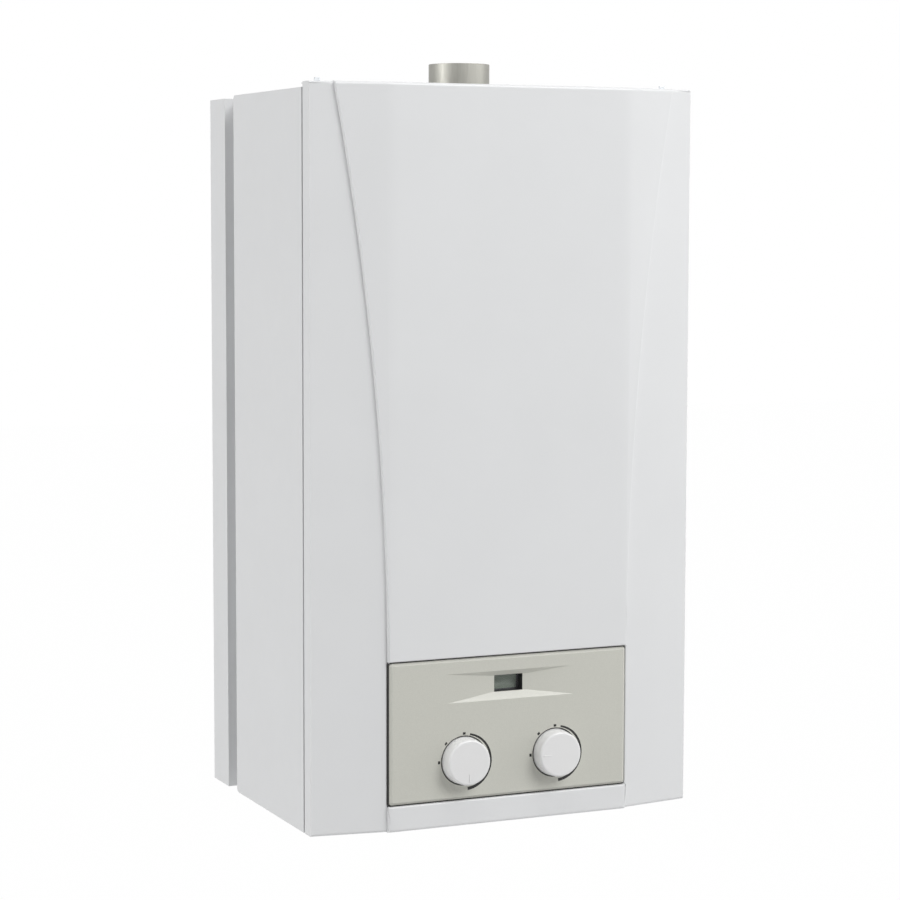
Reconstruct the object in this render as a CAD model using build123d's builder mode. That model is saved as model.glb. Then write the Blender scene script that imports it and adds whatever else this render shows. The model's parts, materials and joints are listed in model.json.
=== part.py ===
from build123d import *
import os

# Wall-hung gas boiler with a sealed chamber and a round flue, as separate pieces.
# Millimetres. X runs to the right, the wall is the plane Y = 0 and the front faces -Y,
# and Z = 0 is level with the lower edge of the casing. A depth is a distance from the wall.

# Casing and side panels
casing_width = 400.0
casing_height = 707.0
corner_depth = 281.0
facet_rise = 11.5
emboss_height = 3.5
crease_half = 124.0
emboss_half = 126.5
emboss_top_inset = 23.0
bow_start = 150.0
return_depth = 19.0
sheet = 1.0
casing_bend = 3.0
front_slant = -0.5
seam = 1.0
panel_drop = 5.0
panel_back_depth = 71.0
panel_corner = 4.0
flange = 14.0
front_flange = 13.0
fit = 0.3

# Rear frame and the holes that it hangs by
frame_depth = 45.0
frame_drop = 7.0
frame_sheet = 1.2
leg_depth = 97.3
leg_lip = 14.0
hanger_spacing = 280.0
hanger_drop = 28.0
hanger_slot_length = 24.0
hanger_slot_width = 10.0
rib_spacing = 150.0
rib_width = 16.0
rib_height = 3.0
rib_margin = 90.0
rib_slope = 30.0

# Hook rail, its tabs and the casing's slots and screws
rail_front_depth = 259.0
rail_width = 19.0
top_notch = 8.0
tab_inset = 18.0
tab_width = 6.0
tab_rise = 4.5
tab_depth = 255.0
slot_gap = 1.5
screw_inset = 40.0
screw_depth = 262.0
screw_radius = 2.0
screw_length = 14.0
screw_head_radius = 4.0
screw_head_height = 2.3
tongue_width = 24.0
tongue_reach = 10.0

# Lower bracket, the connection tails and their places
bracket_height = 30.0
bracket_reach = 194.0
bracket_upstand = 12.0
tail_depth = 55.0
tail_margin = 70.0
tail_end = -22.0
heating_tail_radius = 13.2
heating_tail_bore = 10.0
water_tail_radius = 10.5
water_tail_bore = 7.5
nut_height = 11.0
nut_extra = 4.0
hole_gap = 1.0

# Sealed chamber
chamber_floor = 255.0
chamber_drop = 10.0
chamber_front_depth = 262.0
rim = 12.0
lid_sheet = 1.2
cover_margin = 3.0
cover_field_margin = 31.5
cover_field_inset = 32.0
cover_field_rise = 3.0
cover_field_slope = 45.0
sight_radius = 14.0
sight_lap = 3.0
sight_height = 90.0
glass_thickness = 3.0

# Flue and air intake
flue_radius = 30.0
flue_wall = 1.0
flue_depth = 172.0
flue_rise = 25.0
flue_flange = 84.0
flue_entry = 14.0
intake_spacing = 210.0
intake_radius = 38.0
intake_lap = 4.0
intake_cap_edge = 0.5

# Fan
fan_width = 60.0
fan_wall = 1.2
fan_roof_drop = 14.0
scroll_start = 50.0
scroll_growth = 5.0
scroll_quarters = 3
quarter_turn = 90.0
impeller_radius = 43.0
impeller_width = 40.0
fan_inlet_radius = 30.0
blade_count = 12
blade_thickness = 1.2
shaft_radius = 3.0
hub_radius = 9.0
shaft_fit = 0.05
fan_motor_width = 62.0
fan_motor_height = 50.0
fan_motor_stack = 22.0
fan_motor_cap = 18.0
bearing_width = 34.0
bearing_height = 35.0
bearing_edge = 4.0
blade_angle = 35.0

# Air pressure switch and its two hoses
switch_radius = 28.0
switch_thickness = 22.0
switch_drop = 75.0
hose_radius = 3.0
nipple_radius = 2.0
nipple_length = 10.0
hose_pitch = 24.0
hose_bend = 12.0
hose_start = 30.0
hose_end = 35.0

# Burner, combustion chamber, heat exchanger and hood
burner_bars = 11
burner_margin = 18.5
burner_bar_width = 8.0
burner_bar_height = 34.0
burner_bar_chamfer = 2.4
burner_base = 16.0
fire_side_gap = 72.5
fire_front_depth = 247.0
fire_back_depth = 107.0
fire_base = 57.0
fire_height = 118.0
board_thickness = 10.0
exchanger_height = 62.0
fin_count = 13
fin_gap = 9.0
fin_depth = 20.0
stub_radius = 11.0
stub_length = 20.0
stub_drop = 22.0
stub_depth = 177.0
end_box_length = 10.0
end_box_margin = 8.0
hood_slope = 52.0
duct_half = 40.0
duct_gap = 6.0
electrode_radius = 3.0
electrode_length = 34.0
electrode_pitch = 26.0
electrode_reach = 5.0
manifold_width = 12.0
manifold_height = 16.0
injector_radius = 2.5
injector_length = 5.0
manifold_chamfer = 1.2
manifold_depth = 252.0
burner_pipe_radius = 7.0

# Pipes
pipe_radius = 9.0
pipe_bend = 22.0
bend_steps = 3
riser_reach = 6.0
riser_bend = 17.0
flow_bend_high = 215.0
flow_bend_low = 190.0
return_cross_height = 238.0
sensor_size = 10.0
sensor_height = 400.0
vessel_pipe_radius = 5.0
vessel_pipe_bend = 14.0

# Expansion vessel
vessel_overhang = 20.0
vessel_wall = 1.5
vessel_thickness = 80.0
vessel_height = 330.0
vessel_lift = 10.0
vessel_corner = 48.0
vessel_corner_step = 20.0
vessel_bevel = 18.0
vessel_seam = 4.0
vessel_stub_radius = 7.0

# Valve group on the left
valve_depth = 105.0
barrel_radius = 17.0
barrel_bore = 12.0
barrel_base = 62.0
barrel_top = 172.0
plunger_length = 16.0
stem_radius = 4.0
stem_travel = 8.0
stem_reach = 10.0
plunger_gap = 0.5
barrel_end = 8.0
outlet_height = 75.0
web_thickness = 6.0
inlet_depth = 150.0
inlet_height = 120.0
inlet_top = 165.0
arm_radius = 11.0
socket_radius = 16.0
socket_base = 45.0
socket_rise = 45.0
actuator_width = 42.0
actuator_depth = 50.0
actuator_height = 60.0
actuator_corner = 6.0
actuator_edge = 2.0

# Plate heat exchanger
plate_gap = 6.0
plate_front_depth = 125.0
plate_back_depth = 85.0
plate_base = 95.0
plate_height = 75.0
plate_corner = 10.0
plate_ribs = 5
plate_groove = 3.0
plate_port_margin = 15.0
plate_port_radius = 9.0
header_depth = 58.0
header_radius = 9.0

# Pump and return group on the right
pump_height = 165.0
pump_radius = 40.0
pump_front_depth = 110.0
pump_back_depth = 70.0
pump_axis_depth = 90.0
pump_cavity = 33.0
pump_wall = 5.0
pump_port_low = 115.0
pump_port_high = 215.0
pump_impeller_radius = 28.0
pump_impeller_width = 16.0
motor_radius = 43.0
motor_length = 78.0
motor_cap_radius = 16.0
terminal_reach = 8.0
terminal_inset = 16.0
vent_offset = 35.0
vent_radius = 12.0
vent_base = 200.0
vent_height = 38.0
vent_edge = 2.0
pump_blade_angle = -30.0
cap_radius = 6.0
cap_height = 8.0
turbine_radius = 7.0
turbine_length = 12.0
turbine_height = 68.0
turbine_vanes = 6
axle_radius = 1.5
axle_length = 4.0
return_arm_height = 78.0
filling_arm_height = 58.0
tap_end = 22.0
tap_pin_length = 10.0
tap_radius = 9.0
filling_knob_radius = 12.0
grip_ridges = 12
half_turn = 180.0
filling_knob_height = 18.0
drain_knob_radius = 9.0
drain_knob_height = 16.0
relief_height = 98.0
relief_radius = 12.0
relief_length = 46.0
relief_knob_radius = 14.0
relief_knob_length = 16.0
relief_pin_length = 10.0
relief_drop = 4.0
relief_outlet_radius = 7.0

# Gas valve
gas_valve_half = 32.0
gas_valve_front_depth = 190.0
gas_valve_back_depth = 130.0
gas_valve_base = 95.0
gas_valve_height = 62.0
gas_valve_corner = 6.0
gas_valve_edge = 3.0
coil_radius = 13.0
coil_height = 24.0
gas_run_height = 70.0
gas_pipe_depth = 160.0
gas_cross_height = 225.0
gas_bend = 18.0

# Pressure gauge, facing down beside the control panel
gauge_x = -50.0
gauge_depth = 165.0
gauge_radius = 20.0
gauge_wall = 1.5
gauge_bottom = 8.0
gauge_length = 40.0
gauge_well = 10.0
needle_length = 13.0
needle_width = 1.6
needle_thickness = 1.0

# Control panel, display and knobs
fascia_gap = 1.3
fascia_top = 162.2
fascia_bottom = 25.8
fascia_setback = 0.5
fascia_wall = 2.5
fascia_chamfer = 2.6
panel_opening_extra = 0.5
flange_setback = 3.5
board_post_x = 110.0
board_post_low = 40.0
board_post_high = 112.0
board_post_radius = 3.5
board_half = 118.0
board_low = 34.0
board_high = 154.0
well_gap = 1.5
panel_corner_radius = 3.0
lip_depth = 6.0
recess_half = 65.0
recess_top = 148.0
recess_bottom = 120.0
recess_depth = 4.0
display_width = 30.0
display_height = 16.0
display_centre = 135.0
display_margin = 2.0
window_tunnel = 6.0
window_thickness = 1.5
module_margin = 4.0
knob_spacing = 97.0
knob_height = 63.5
knob_radius = 23.0
knob_face_radius = 19.5
knob_projection = 14.0
knob_round = 1.8
pointer_depth = 0.6
pointer_length = 9.0
pointer_width = 1.6
pointer_down = -90.0
pointer_left = 180.0
knob_ring_gap = 0.8
knob_sink = 6.0
stem_pin_radius = 3.0
pot_size = 16.0
pot_depth = 8.0
board_depth = 264.0
board_thick = 1.6
box_wall = 2.5
box_side_gap = 2.5
box_front_depth = 277.0
box_back_depth = 205.0
box_base = 24.0
box_top = 163.0
pivot_radius = 4.0
pivot_height = 36.0
pivot_depth = 225.0
pivot_length = 5.0
lug_radius = 8.0
gland_radius = 9.0
gland_bore = 4.5
gland_length = 14.0
gland_x = -100.0
foot_width = 16.0

# Flats round the sides of plain bosses, bent pipes, drums and knobs
boss_flats = 12
nut_flats = 6
pipe_flats = 16
hose_flats = 8
drum_flats = 24
knob_flats = 36

# Places that follow from the sizes above
half_width = casing_width / 2
frame_height = casing_height - frame_drop
panel_height = casing_height - panel_drop
casing_back_depth = corner_depth - return_depth
panel_front_depth = casing_back_depth - seam
leg_outer = half_width - flange
inner_half = leg_outer - frame_sheet - fit
emboss_top_half = half_width - emboss_top_inset
tab_spacing = casing_width - 2 * tab_inset
screw_spacing = casing_width - 2 * screw_inset
front_depth = corner_depth + facet_rise + emboss_height
chamber_back_depth = leg_depth + fit
chamber_roof = casing_height - chamber_drop
lid_top = chamber_roof + lid_sheet
rail_top = casing_height - sheet - fit
tail_pitch = (half_width - tail_margin) / 2
tail_x = [-2 * tail_pitch, -tail_pitch, 0.0, tail_pitch, 2 * tail_pitch]
flow_x, hot_x, gas_x, cold_x, return_x = tail_x
plate_half = return_x - pump_radius - plate_gap
fire_half = inner_half - fire_side_gap
riser_half = fire_half + stub_length + riser_bend + riser_reach
burner_bar_pitch = 2 * (fire_half - burner_margin) / burner_bars
box_half = leg_outer - box_side_gap
flange_half = box_half - flange_setback
fire_floor = chamber_floor + fire_base
exchanger_base = fire_floor + fire_height + fit
exchanger_top = exchanger_base + exchanger_height
fan_top = chamber_roof - fan_roof_drop
fan_front_depth = flue_depth + fan_width / 2
fan_back_depth = flue_depth - fan_width / 2
scroll_x = flue_radius - flue_wall - scroll_start - scroll_quarters * scroll_growth
scroll_z = fan_top - fan_roof_drop
fan_x = scroll_x + scroll_growth
fan_z = scroll_z - scroll_start
vessel_half = return_x + vessel_overhang
vessel_base = chamber_floor + vessel_lift
vessel_back = frame_sheet + fit + rib_height
vessel_mid = vessel_back + vessel_thickness / 2
vessel_z = vessel_base + vessel_height / 2
fascia_depth = front_depth - fascia_setback
fascia_half = emboss_half + panel_opening_extra - fascia_gap
screen_depth = fascia_depth - recess_depth - fascia_wall - window_tunnel
pump_face_depth = pump_front_depth + fit
tap_x = (cold_x + return_x) / 2
os.makedirs("parts", exist_ok=True)


def front_plane(depth, x=0.0, z=0.0):
    """A plane that faces the front at a depth, with its origin at x and z."""
    return Plane(origin=(x, -depth, z), x_dir=(1, 0, 0), z_dir=(0, -1, 0))


def level_plane(z, x=0.0, depth=0.0):
    """A plane that faces up at a height, with its origin at x and a depth."""
    return Plane(origin=(x, -depth, z), x_dir=(1, 0, 0), z_dir=(0, 0, 1))


def side_plane(x, depth=0.0, z=0.0):
    """A plane that faces +X, with its origin at a depth and a height."""
    return Plane(origin=(x, -depth, z), x_dir=(0, 1, 0), z_dir=(1, 0, 0))


def slab(x_span, depth_span, z_span, mode=Mode.ADD):
    """A rectangular block of the part being built, from its limits."""
    centre = (sum(x_span) / 2, -sum(depth_span) / 2, sum(z_span) / 2)
    with Locations(centre):
        Box(x_span[1] - x_span[0], depth_span[1] - depth_span[0], z_span[1] - z_span[0], mode=mode)


def rod(plane, radius, length, mode=Mode.ADD):
    """A round bar, boss or hole of the part being built, standing on a plane."""
    with Locations(plane):
        Cylinder(radius, length, align=(Align.CENTER, Align.CENTER, Align.MIN), mode=mode)


def boss(plane, radius, length, mode=Mode.ADD, flats=boss_flats):
    """A boss, drum or hole of the part being built, its round side drawn as flats."""
    with BuildSketch(plane) as outline:
        RegularPolygon(radius, flats, major_radius=mode == Mode.ADD)
    extrude(outline.sketch, amount=length, mode=mode)


def pipe(points, bend, radius, flats=pipe_flats):
    """A bent pipe of the part being built, each bend drawn as a few short straight lengths."""
    with BuildLine() as route:
        FilletPolyline(*points, radius=bend)
    corners = [Vector(*points[0])]
    for edge in route.edges().sort_by(route.wires()[0]):
        steps = 1 if edge.geom_type == GeomType.LINE else bend_steps
        marks = [edge @ (step / steps) for step in range(steps + 1)]
        if (marks[0] - corners[-1]).length > (marks[-1] - corners[-1]).length:
            marks.reverse()
        corners += marks[1:]
    with BuildLine() as course:
        Polyline(*corners)
    with BuildSketch(Plane(origin=corners[0], z_dir=corners[1] - corners[0])) as section:
        RegularPolygon(radius, flats)
    sweep(sections=section.sketch, path=course.line, transition=Transition.RIGHT)


# Rear frame: one folded sheet with a back wall, side walls, front flanges and two legs
# that reach forward to carry the chamber, closed by a strip along the top.
with BuildPart() as rear_frame:
    with BuildSketch(Plane.XY):
        with BuildLine():
            skin = Polyline(
                (-(leg_outer - leg_lip), -leg_depth),
                (-leg_outer, -leg_depth),
                (-leg_outer, -frame_depth),
                (-half_width, -frame_depth),
                (-half_width, 0),
                (half_width, 0),
                (half_width, -frame_depth),
                (leg_outer, -frame_depth),
                (leg_outer, -leg_depth),
                (leg_outer - leg_lip, -leg_depth),
            )
            offset(skin, amount=frame_sheet, side=Side.RIGHT, kind=Kind.INTERSECTION)
        make_face()
    extrude(amount=frame_height)
    top_span = (frame_height - frame_sheet, frame_height)
    inner_span = (-half_width + frame_sheet, half_width - frame_sheet)
    slab(inner_span, (frame_sheet, frame_depth - frame_sheet), top_span)
    # Stiffening ribs pressed inward from the back wall
    for side in (-1, 1):
        with BuildSketch(front_plane(frame_sheet, side * rib_spacing / 2, frame_height / 2)):
            Rectangle(rib_width, frame_height - 2 * rib_margin)
        extrude(amount=rib_height, taper=rib_slope)
        with BuildSketch(front_plane(0, side * rib_spacing / 2, frame_height / 2)):
            Rectangle(rib_width - 2 * frame_sheet, frame_height - 2 * rib_margin - 2 * frame_sheet)
        extrude(amount=rib_height, taper=rib_slope, mode=Mode.SUBTRACT)
    with BuildSketch(front_plane(0, 0, casing_height - frame_drop - hanger_drop)):
        with GridLocations(hanger_spacing, 0, 2, 1):
            SlotOverall(hanger_slot_length, hanger_slot_width)
    extrude(amount=frame_sheet, mode=Mode.SUBTRACT)
    # The lips that carry the chamber stop at its floor
    for side in (-1, 1):
        lip_span = sorted([side * (leg_outer - frame_sheet), side * (leg_outer - leg_lip)])
        slab(lip_span, (leg_depth - frame_sheet, leg_depth), (0, chamber_floor), mode=Mode.SUBTRACT)
rear_frame.part.label = "rear_frame"
export_step(rear_frame.part, "parts/rear_frame.step")

# Side panels: painted sheet folded inward on all four sides, with a lug at the foot
# that holds the pivot pin of the control box.
with BuildPart() as left_side_panel:
    with BuildSketch(Plane.XY):
        with BuildLine():
            skin = Polyline(
                (-(half_width - front_flange), -panel_front_depth),
                (-half_width, -panel_front_depth),
                (-half_width, -panel_back_depth),
                (-(leg_outer + fit), -panel_back_depth),
            )
            offset(skin, amount=sheet, side=Side.RIGHT, kind=Kind.INTERSECTION)
        make_face()
    extrude(amount=panel_height)
    for low in (0, panel_height - sheet):
        slab(
            (-half_width + sheet, -leg_outer - fit),
            (panel_back_depth + sheet, panel_front_depth - sheet),
            (low, low + sheet),
        )
    lug_face = side_plane(-leg_outer - fit, pivot_depth)
    with BuildSketch(lug_face):
        with Locations((0, pivot_height / 2)):
            Rectangle(2 * lug_radius, pivot_height)
        with Locations((0, pivot_height)):
            RegularPolygon(lug_radius, boss_flats)
            RegularPolygon(pivot_radius + fit, boss_flats, major_radius=False, mode=Mode.SUBTRACT)
    extrude(amount=-sheet)
    with BuildSketch(side_plane(-half_width, (panel_front_depth + panel_back_depth) / 2, panel_height / 2)):
        Rectangle(panel_front_depth - panel_back_depth, panel_height)
        rear_corners = vertices().group_by(Axis.X)[-1]
        fillet(rear_corners, radius=panel_corner)
    extrude(amount=2 * flange, mode=Mode.INTERSECT)
left_side_panel.part.label = "left_side_panel"
export_step(left_side_panel.part, "parts/left_side_panel.step")

with BuildPart() as right_side_panel:
    mirror(left_side_panel.part, about=Plane.YZ)
right_side_panel.part.label = "right_side_panel"
export_step(right_side_panel.part, "parts/right_side_panel.step")


def casing_plan(forward, inset):
    """The casing seen from above: side walls, two slanted facets and a flat centre."""
    with BuildSketch(Plane.XY.offset(inset)) as plan:
        with BuildLine():
            Polyline(
                (-half_width, -frame_depth),
                (-half_width, -corner_depth - forward),
                (-crease_half, -corner_depth - facet_rise - forward),
                (crease_half, -corner_depth - facet_rise - forward),
                (half_width, -corner_depth - forward),
                (half_width, -frame_depth),
                close=True,
            )
        make_face()
        if inset:
            offset(amount=-inset, kind=Kind.INTERSECTION)
    return plan.sketch


def emboss_outline(inset):
    """The raised centre seen from the front: straight sides that bow out as arcs."""
    with BuildSketch(front_plane(casing_back_depth)) as outline:
        with BuildLine():
            Line((-emboss_half, -bow_start), (-emboss_half, bow_start))
            bow = TangentArc(
                (-emboss_half, bow_start), (-emboss_top_half, casing_height), tangent=(0, 1)
            )
            beyond = Line(bow @ 1, (bow @ 1) + (bow % 1) * return_depth)
            Line(beyond @ 1, (0, (beyond @ 1).Y))
            Line((0, -bow_start), (-emboss_half, -bow_start))
            mirror(about=Plane.YZ)
        make_face()
        if inset:
            offset(amount=-inset)
    return outline.sketch


def looks_forward(face):
    """True for the facets and the front, not for the sides, top and bottom."""
    return face.normal_at().Y < front_slant


def casing_block(inset):
    """The casing as a solid block, drawn in by the sheet's thickness for the inside."""
    bend = casing_bend - inset
    round_off = chamfer if inset else fillet
    tall = casing_height - 2 * inset
    reach = return_depth + facet_rise + emboss_height
    with BuildPart() as block:
        extrude(casing_plan(0, inset), amount=tall)
        facets = faces().filter_by(looks_forward)
        round_off(facets.edges().filter_by(Plane.XY), bend)
    with BuildPart() as centre:
        extrude(casing_plan(emboss_height, inset), amount=tall)
        facets = faces().filter_by(looks_forward)
        round_off(facets.edges().filter_by(Plane.XY), bend)
        extrude(emboss_outline(inset), amount=reach, mode=Mode.INTERSECT)
    with BuildPart() as whole:
        add(block.part)
        add(centre.part)
    return whole.part


outer_block = casing_block(0)
inner_block = casing_block(sheet)
opening_z = (fascia_top + fascia_bottom) / 2
opening_half = emboss_half + panel_opening_extra
opening_height = fascia_top - fascia_bottom + 2 * fascia_gap

# Front casing: a pressed sheet with slanted facets, a raised centre whose sides bow out
# towards the top, a lipped opening for the control panel and slots over the hook tabs.
with BuildPart() as lip_zone:
    with BuildSketch(front_plane(front_depth - lip_depth, 0, opening_z)):
        RectangleRounded(
            2 * opening_half + 2 * sheet, opening_height + 2 * sheet, panel_corner_radius + sheet
        )
    extrude(amount=2 * lip_depth)
with BuildPart() as front_casing:
    add(outer_block)
    add(inner_block - lip_zone.part, mode=Mode.SUBTRACT)
    with BuildSketch(front_plane(casing_back_depth, 0, opening_z)):
        RectangleRounded(2 * opening_half, opening_height, panel_corner_radius)
    extrude(amount=2 * return_depth + facet_rise, mode=Mode.SUBTRACT)
    # Behind the side returns only the top flange and the two screw tongues go on
    rail_rear_depth = rail_front_depth - rail_width
    slab((-casing_width, casing_width), (0, rail_rear_depth), (-sheet, casing_height), mode=Mode.SUBTRACT)
    slab(
        (-casing_width, casing_width),
        (rail_rear_depth, casing_back_depth - tongue_reach),
        (-sheet, casing_height - sheet),
        mode=Mode.SUBTRACT,
    )
    tongue_gap = (screw_spacing - tongue_width) / 2
    between = (casing_back_depth - tongue_reach, casing_back_depth)
    slab((-tongue_gap, tongue_gap), between, (-sheet, casing_height - sheet), mode=Mode.SUBTRACT)
    for side in (-1, 1):
        outside = sorted([side * (tongue_gap + tongue_width), side * casing_width])
        slab(outside, between, (-sheet, casing_height - sheet), mode=Mode.SUBTRACT)
        ends = sorted([side * (half_width - top_notch), side * casing_width])
        top_strip = (casing_height - 2 * sheet, casing_height)
        slab(ends, (rail_rear_depth, casing_back_depth), top_strip, mode=Mode.SUBTRACT)
        slot_x = side * tab_spacing / 2
        slot_span = (slot_x - tab_width / 2 - slot_gap, slot_x + tab_width / 2 + slot_gap)
        slot_run = (rail_rear_depth, tab_depth + 2 * slot_gap)
        slab(slot_span, slot_run, top_strip, mode=Mode.SUBTRACT)
        hole = level_plane(0, side * screw_spacing / 2, screw_depth)
        boss(hole, screw_radius + fit, sheet, mode=Mode.SUBTRACT)
front_casing.part.label = "front_casing"
export_step(front_casing.part, "parts/front_casing.step")

# Hook rail: a folded channel across the top whose two tabs stand up through the casing
with BuildPart() as hook_rail:
    rail_half = leg_outer
    with BuildSketch(side_plane(-rail_half)):
        with BuildLine():
            skin = Polyline(
                (-rail_rear_depth, lid_top),
                (-rail_front_depth, lid_top),
                (-rail_front_depth, rail_top),
                (-rail_rear_depth, rail_top),
            )
            offset(skin, amount=frame_sheet, side=Side.RIGHT, kind=Kind.INTERSECTION)
        make_face()
    extrude(amount=2 * rail_half)
    with BuildSketch(level_plane(rail_top - frame_sheet, 0, tab_depth)):
        with GridLocations(tab_spacing, 0, 2, 1):
            Rectangle(tab_width, frame_sheet)
    extrude(amount=frame_sheet + fit + sheet + tab_rise)
hook_rail.part.label = "hook_rail"
export_step(hook_rail.part, "parts/hook_rail.step")

# Two captive screws through the casing's tongues, free to leave the open slots of the feet
with BuildPart() as casing_screws:
    with BuildSketch(level_plane(-screw_head_height, 0, screw_depth)):
        with GridLocations(screw_spacing, 0, 2, 1):
            RegularPolygon(screw_head_radius, nut_flats)
    extrude(amount=screw_head_height)
    with BuildSketch(level_plane(-screw_head_height, 0, screw_depth)):
        with GridLocations(screw_spacing, 0, 2, 1):
            RegularPolygon(screw_radius, boss_flats)
    extrude(amount=screw_head_height + screw_length)
casing_screws.part.label = "casing_screws"
export_step(casing_screws.part, "parts/casing_screws.step")

# Lower bracket: a plate with upturned edges that the connection tails pass through
with BuildPart() as lower_bracket:
    with BuildSketch(front_plane(frame_sheet + fit)):
        with BuildLine():
            skin = Polyline(
                (-inner_half, bracket_height + bracket_upstand),
                (-inner_half, bracket_height),
                (inner_half, bracket_height),
                (inner_half, bracket_height + bracket_upstand),
            )
            offset(skin, amount=frame_sheet, side=Side.LEFT, kind=Kind.INTERSECTION)
        make_face()
    extrude(amount=bracket_reach)
    with BuildSketch(level_plane(bracket_height, 0, 0)):
        with Locations(*[(x, -tail_depth) for x in (flow_x, gas_x, return_x)]):
            RegularPolygon(heating_tail_radius + hole_gap, pipe_flats, major_radius=False)
        with Locations(*[(x, -tail_depth) for x in (hot_x, cold_x)]):
            RegularPolygon(water_tail_radius + hole_gap, pipe_flats, major_radius=False)
        with Locations((gauge_x, -gauge_depth)):
            RegularPolygon(gauge_radius + fit, drum_flats, major_radius=False)
        with Locations((tap_x, -tail_depth), (return_x, -pump_axis_depth)):
            RegularPolygon(tap_radius + hole_gap, boss_flats, major_radius=False)
    extrude(amount=frame_sheet, mode=Mode.SUBTRACT)
lower_bracket.part.label = "lower_bracket"
export_step(lower_bracket.part, "parts/lower_bracket.step")


def tails(places, radius, bore, top):
    """Threaded pipe tails with a hexagonal nut seated on the lower bracket."""
    with BuildPart() as group:
        nut_base = bracket_height - nut_height
        for x in places:
            rod(level_plane(tail_end, x, tail_depth), radius, nut_base - tail_end)
            boss(level_plane(nut_base, x, tail_depth), radius, top - nut_base)
            nut = level_plane(nut_base, x, tail_depth)
            boss(nut, radius + nut_extra, nut_height, flats=nut_flats)
            boss(level_plane(tail_end, x, tail_depth), bore, top - tail_end, mode=Mode.SUBTRACT)
    return group.part


with BuildPart() as heating_tails:
    add(tails((flow_x, return_x), heating_tail_radius, heating_tail_bore, socket_base))
heating_tails.part.label = "heating_tails"
export_step(heating_tails.part, "parts/heating_tails.step")

with BuildPart() as water_tails:
    add(tails((hot_x, cold_x), water_tail_radius, water_tail_bore, socket_base))
water_tails.part.label = "water_tails"
export_step(water_tails.part, "parts/water_tails.step")

# Chamber shell: a folded box round the burner and the fan, open at the front and the top
with BuildPart() as chamber_shell:
    with BuildSketch(Plane.XY.offset(chamber_floor)):
        with BuildLine():
            skin = Polyline(
                (-(inner_half - rim), -chamber_front_depth),
                (-inner_half, -chamber_front_depth),
                (-inner_half, -chamber_back_depth),
                (inner_half, -chamber_back_depth),
                (inner_half, -chamber_front_depth),
                (inner_half - rim, -chamber_front_depth),
            )
            offset(skin, amount=sheet, side=Side.RIGHT, kind=Kind.INTERSECTION)
        make_face()
    extrude(amount=chamber_roof - chamber_floor)
    floor_span = (chamber_floor, chamber_floor + sheet)
    inside_x = (-inner_half + sheet, inner_half - sheet)
    slab(inside_x, (chamber_back_depth + sheet, chamber_front_depth), floor_span)
    slab(inside_x, (chamber_front_depth - sheet, chamber_front_depth), (chamber_floor, chamber_floor + rim))
    with BuildSketch(level_plane(chamber_floor)):
        with Locations((-riser_half, -stub_depth), (riser_half, -stub_depth)):
            RegularPolygon(pipe_radius + hole_gap, pipe_flats, major_radius=False)
        with Locations((gas_x, -manifold_depth)):
            RegularPolygon(burner_pipe_radius + hole_gap, pipe_flats, major_radius=False)
    extrude(amount=sheet, mode=Mode.SUBTRACT)
chamber_shell.part.label = "chamber_shell"
export_step(chamber_shell.part, "parts/chamber_shell.step")

# Chamber lid: the roof plate with the flue hole, two air intakes and a turned-down lip
with BuildPart() as chamber_lid:
    slab((-inner_half, inner_half), (chamber_back_depth, chamber_front_depth), (chamber_roof, lid_top))
    lip_half = inner_half - rim - fit
    lip_run = (chamber_front_depth - lid_sheet, chamber_front_depth)
    slab((-lip_half, lip_half), lip_run, (chamber_roof - rim, chamber_roof))
    with BuildSketch(level_plane(chamber_roof, 0, flue_depth)):
        RegularPolygon(flue_radius + hole_gap, drum_flats, major_radius=False)
        with GridLocations(intake_spacing, 0, 2, 1):
            RegularPolygon(intake_radius, drum_flats)
    extrude(amount=lid_sheet, mode=Mode.SUBTRACT)
chamber_lid.part.label = "chamber_lid"
export_step(chamber_lid.part, "parts/chamber_lid.step")

# Chamber cover: a front sheet with a raised field and a round sight hole
with BuildPart() as chamber_cover:
    cover_half = inner_half - cover_margin
    cover_z = (chamber_floor + chamber_roof) / 2
    cover_tall = chamber_roof - chamber_floor - 2 * cover_margin
    field_tall = cover_tall - 2 * cover_field_inset
    cover_depth = chamber_front_depth + fit
    with BuildSketch(front_plane(cover_depth, 0, cover_z)):
        Rectangle(2 * cover_half, cover_tall)
    extrude(amount=sheet)
    for wall, mode in ((0, Mode.ADD), (sheet, Mode.SUBTRACT)):
        with BuildSketch(front_plane(cover_depth, 0, cover_z)):
            Rectangle(2 * (cover_half - cover_field_margin - wall), field_tall - 2 * wall)
        extrude(amount=cover_field_rise + sheet - wall, taper=cover_field_slope, mode=mode)
    sight_plane = front_plane(cover_depth, 0, chamber_floor + sight_height)
    sight_run = cover_field_rise + 2 * sheet
    boss(sight_plane, sight_radius, sight_run, mode=Mode.SUBTRACT, flats=drum_flats)
chamber_cover.part.label = "chamber_cover"
export_step(chamber_cover.part, "parts/chamber_cover.step")

with BuildPart() as sight_glass:
    glass_seat = cover_depth + sheet + cover_field_rise
    glass_place = front_plane(glass_seat, 0, chamber_floor + sight_height)
    boss(glass_place, sight_radius + sight_lap, glass_thickness, flats=drum_flats)
sight_glass.part.label = "sight_glass"
export_step(sight_glass.part, "parts/sight_glass.step")

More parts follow.
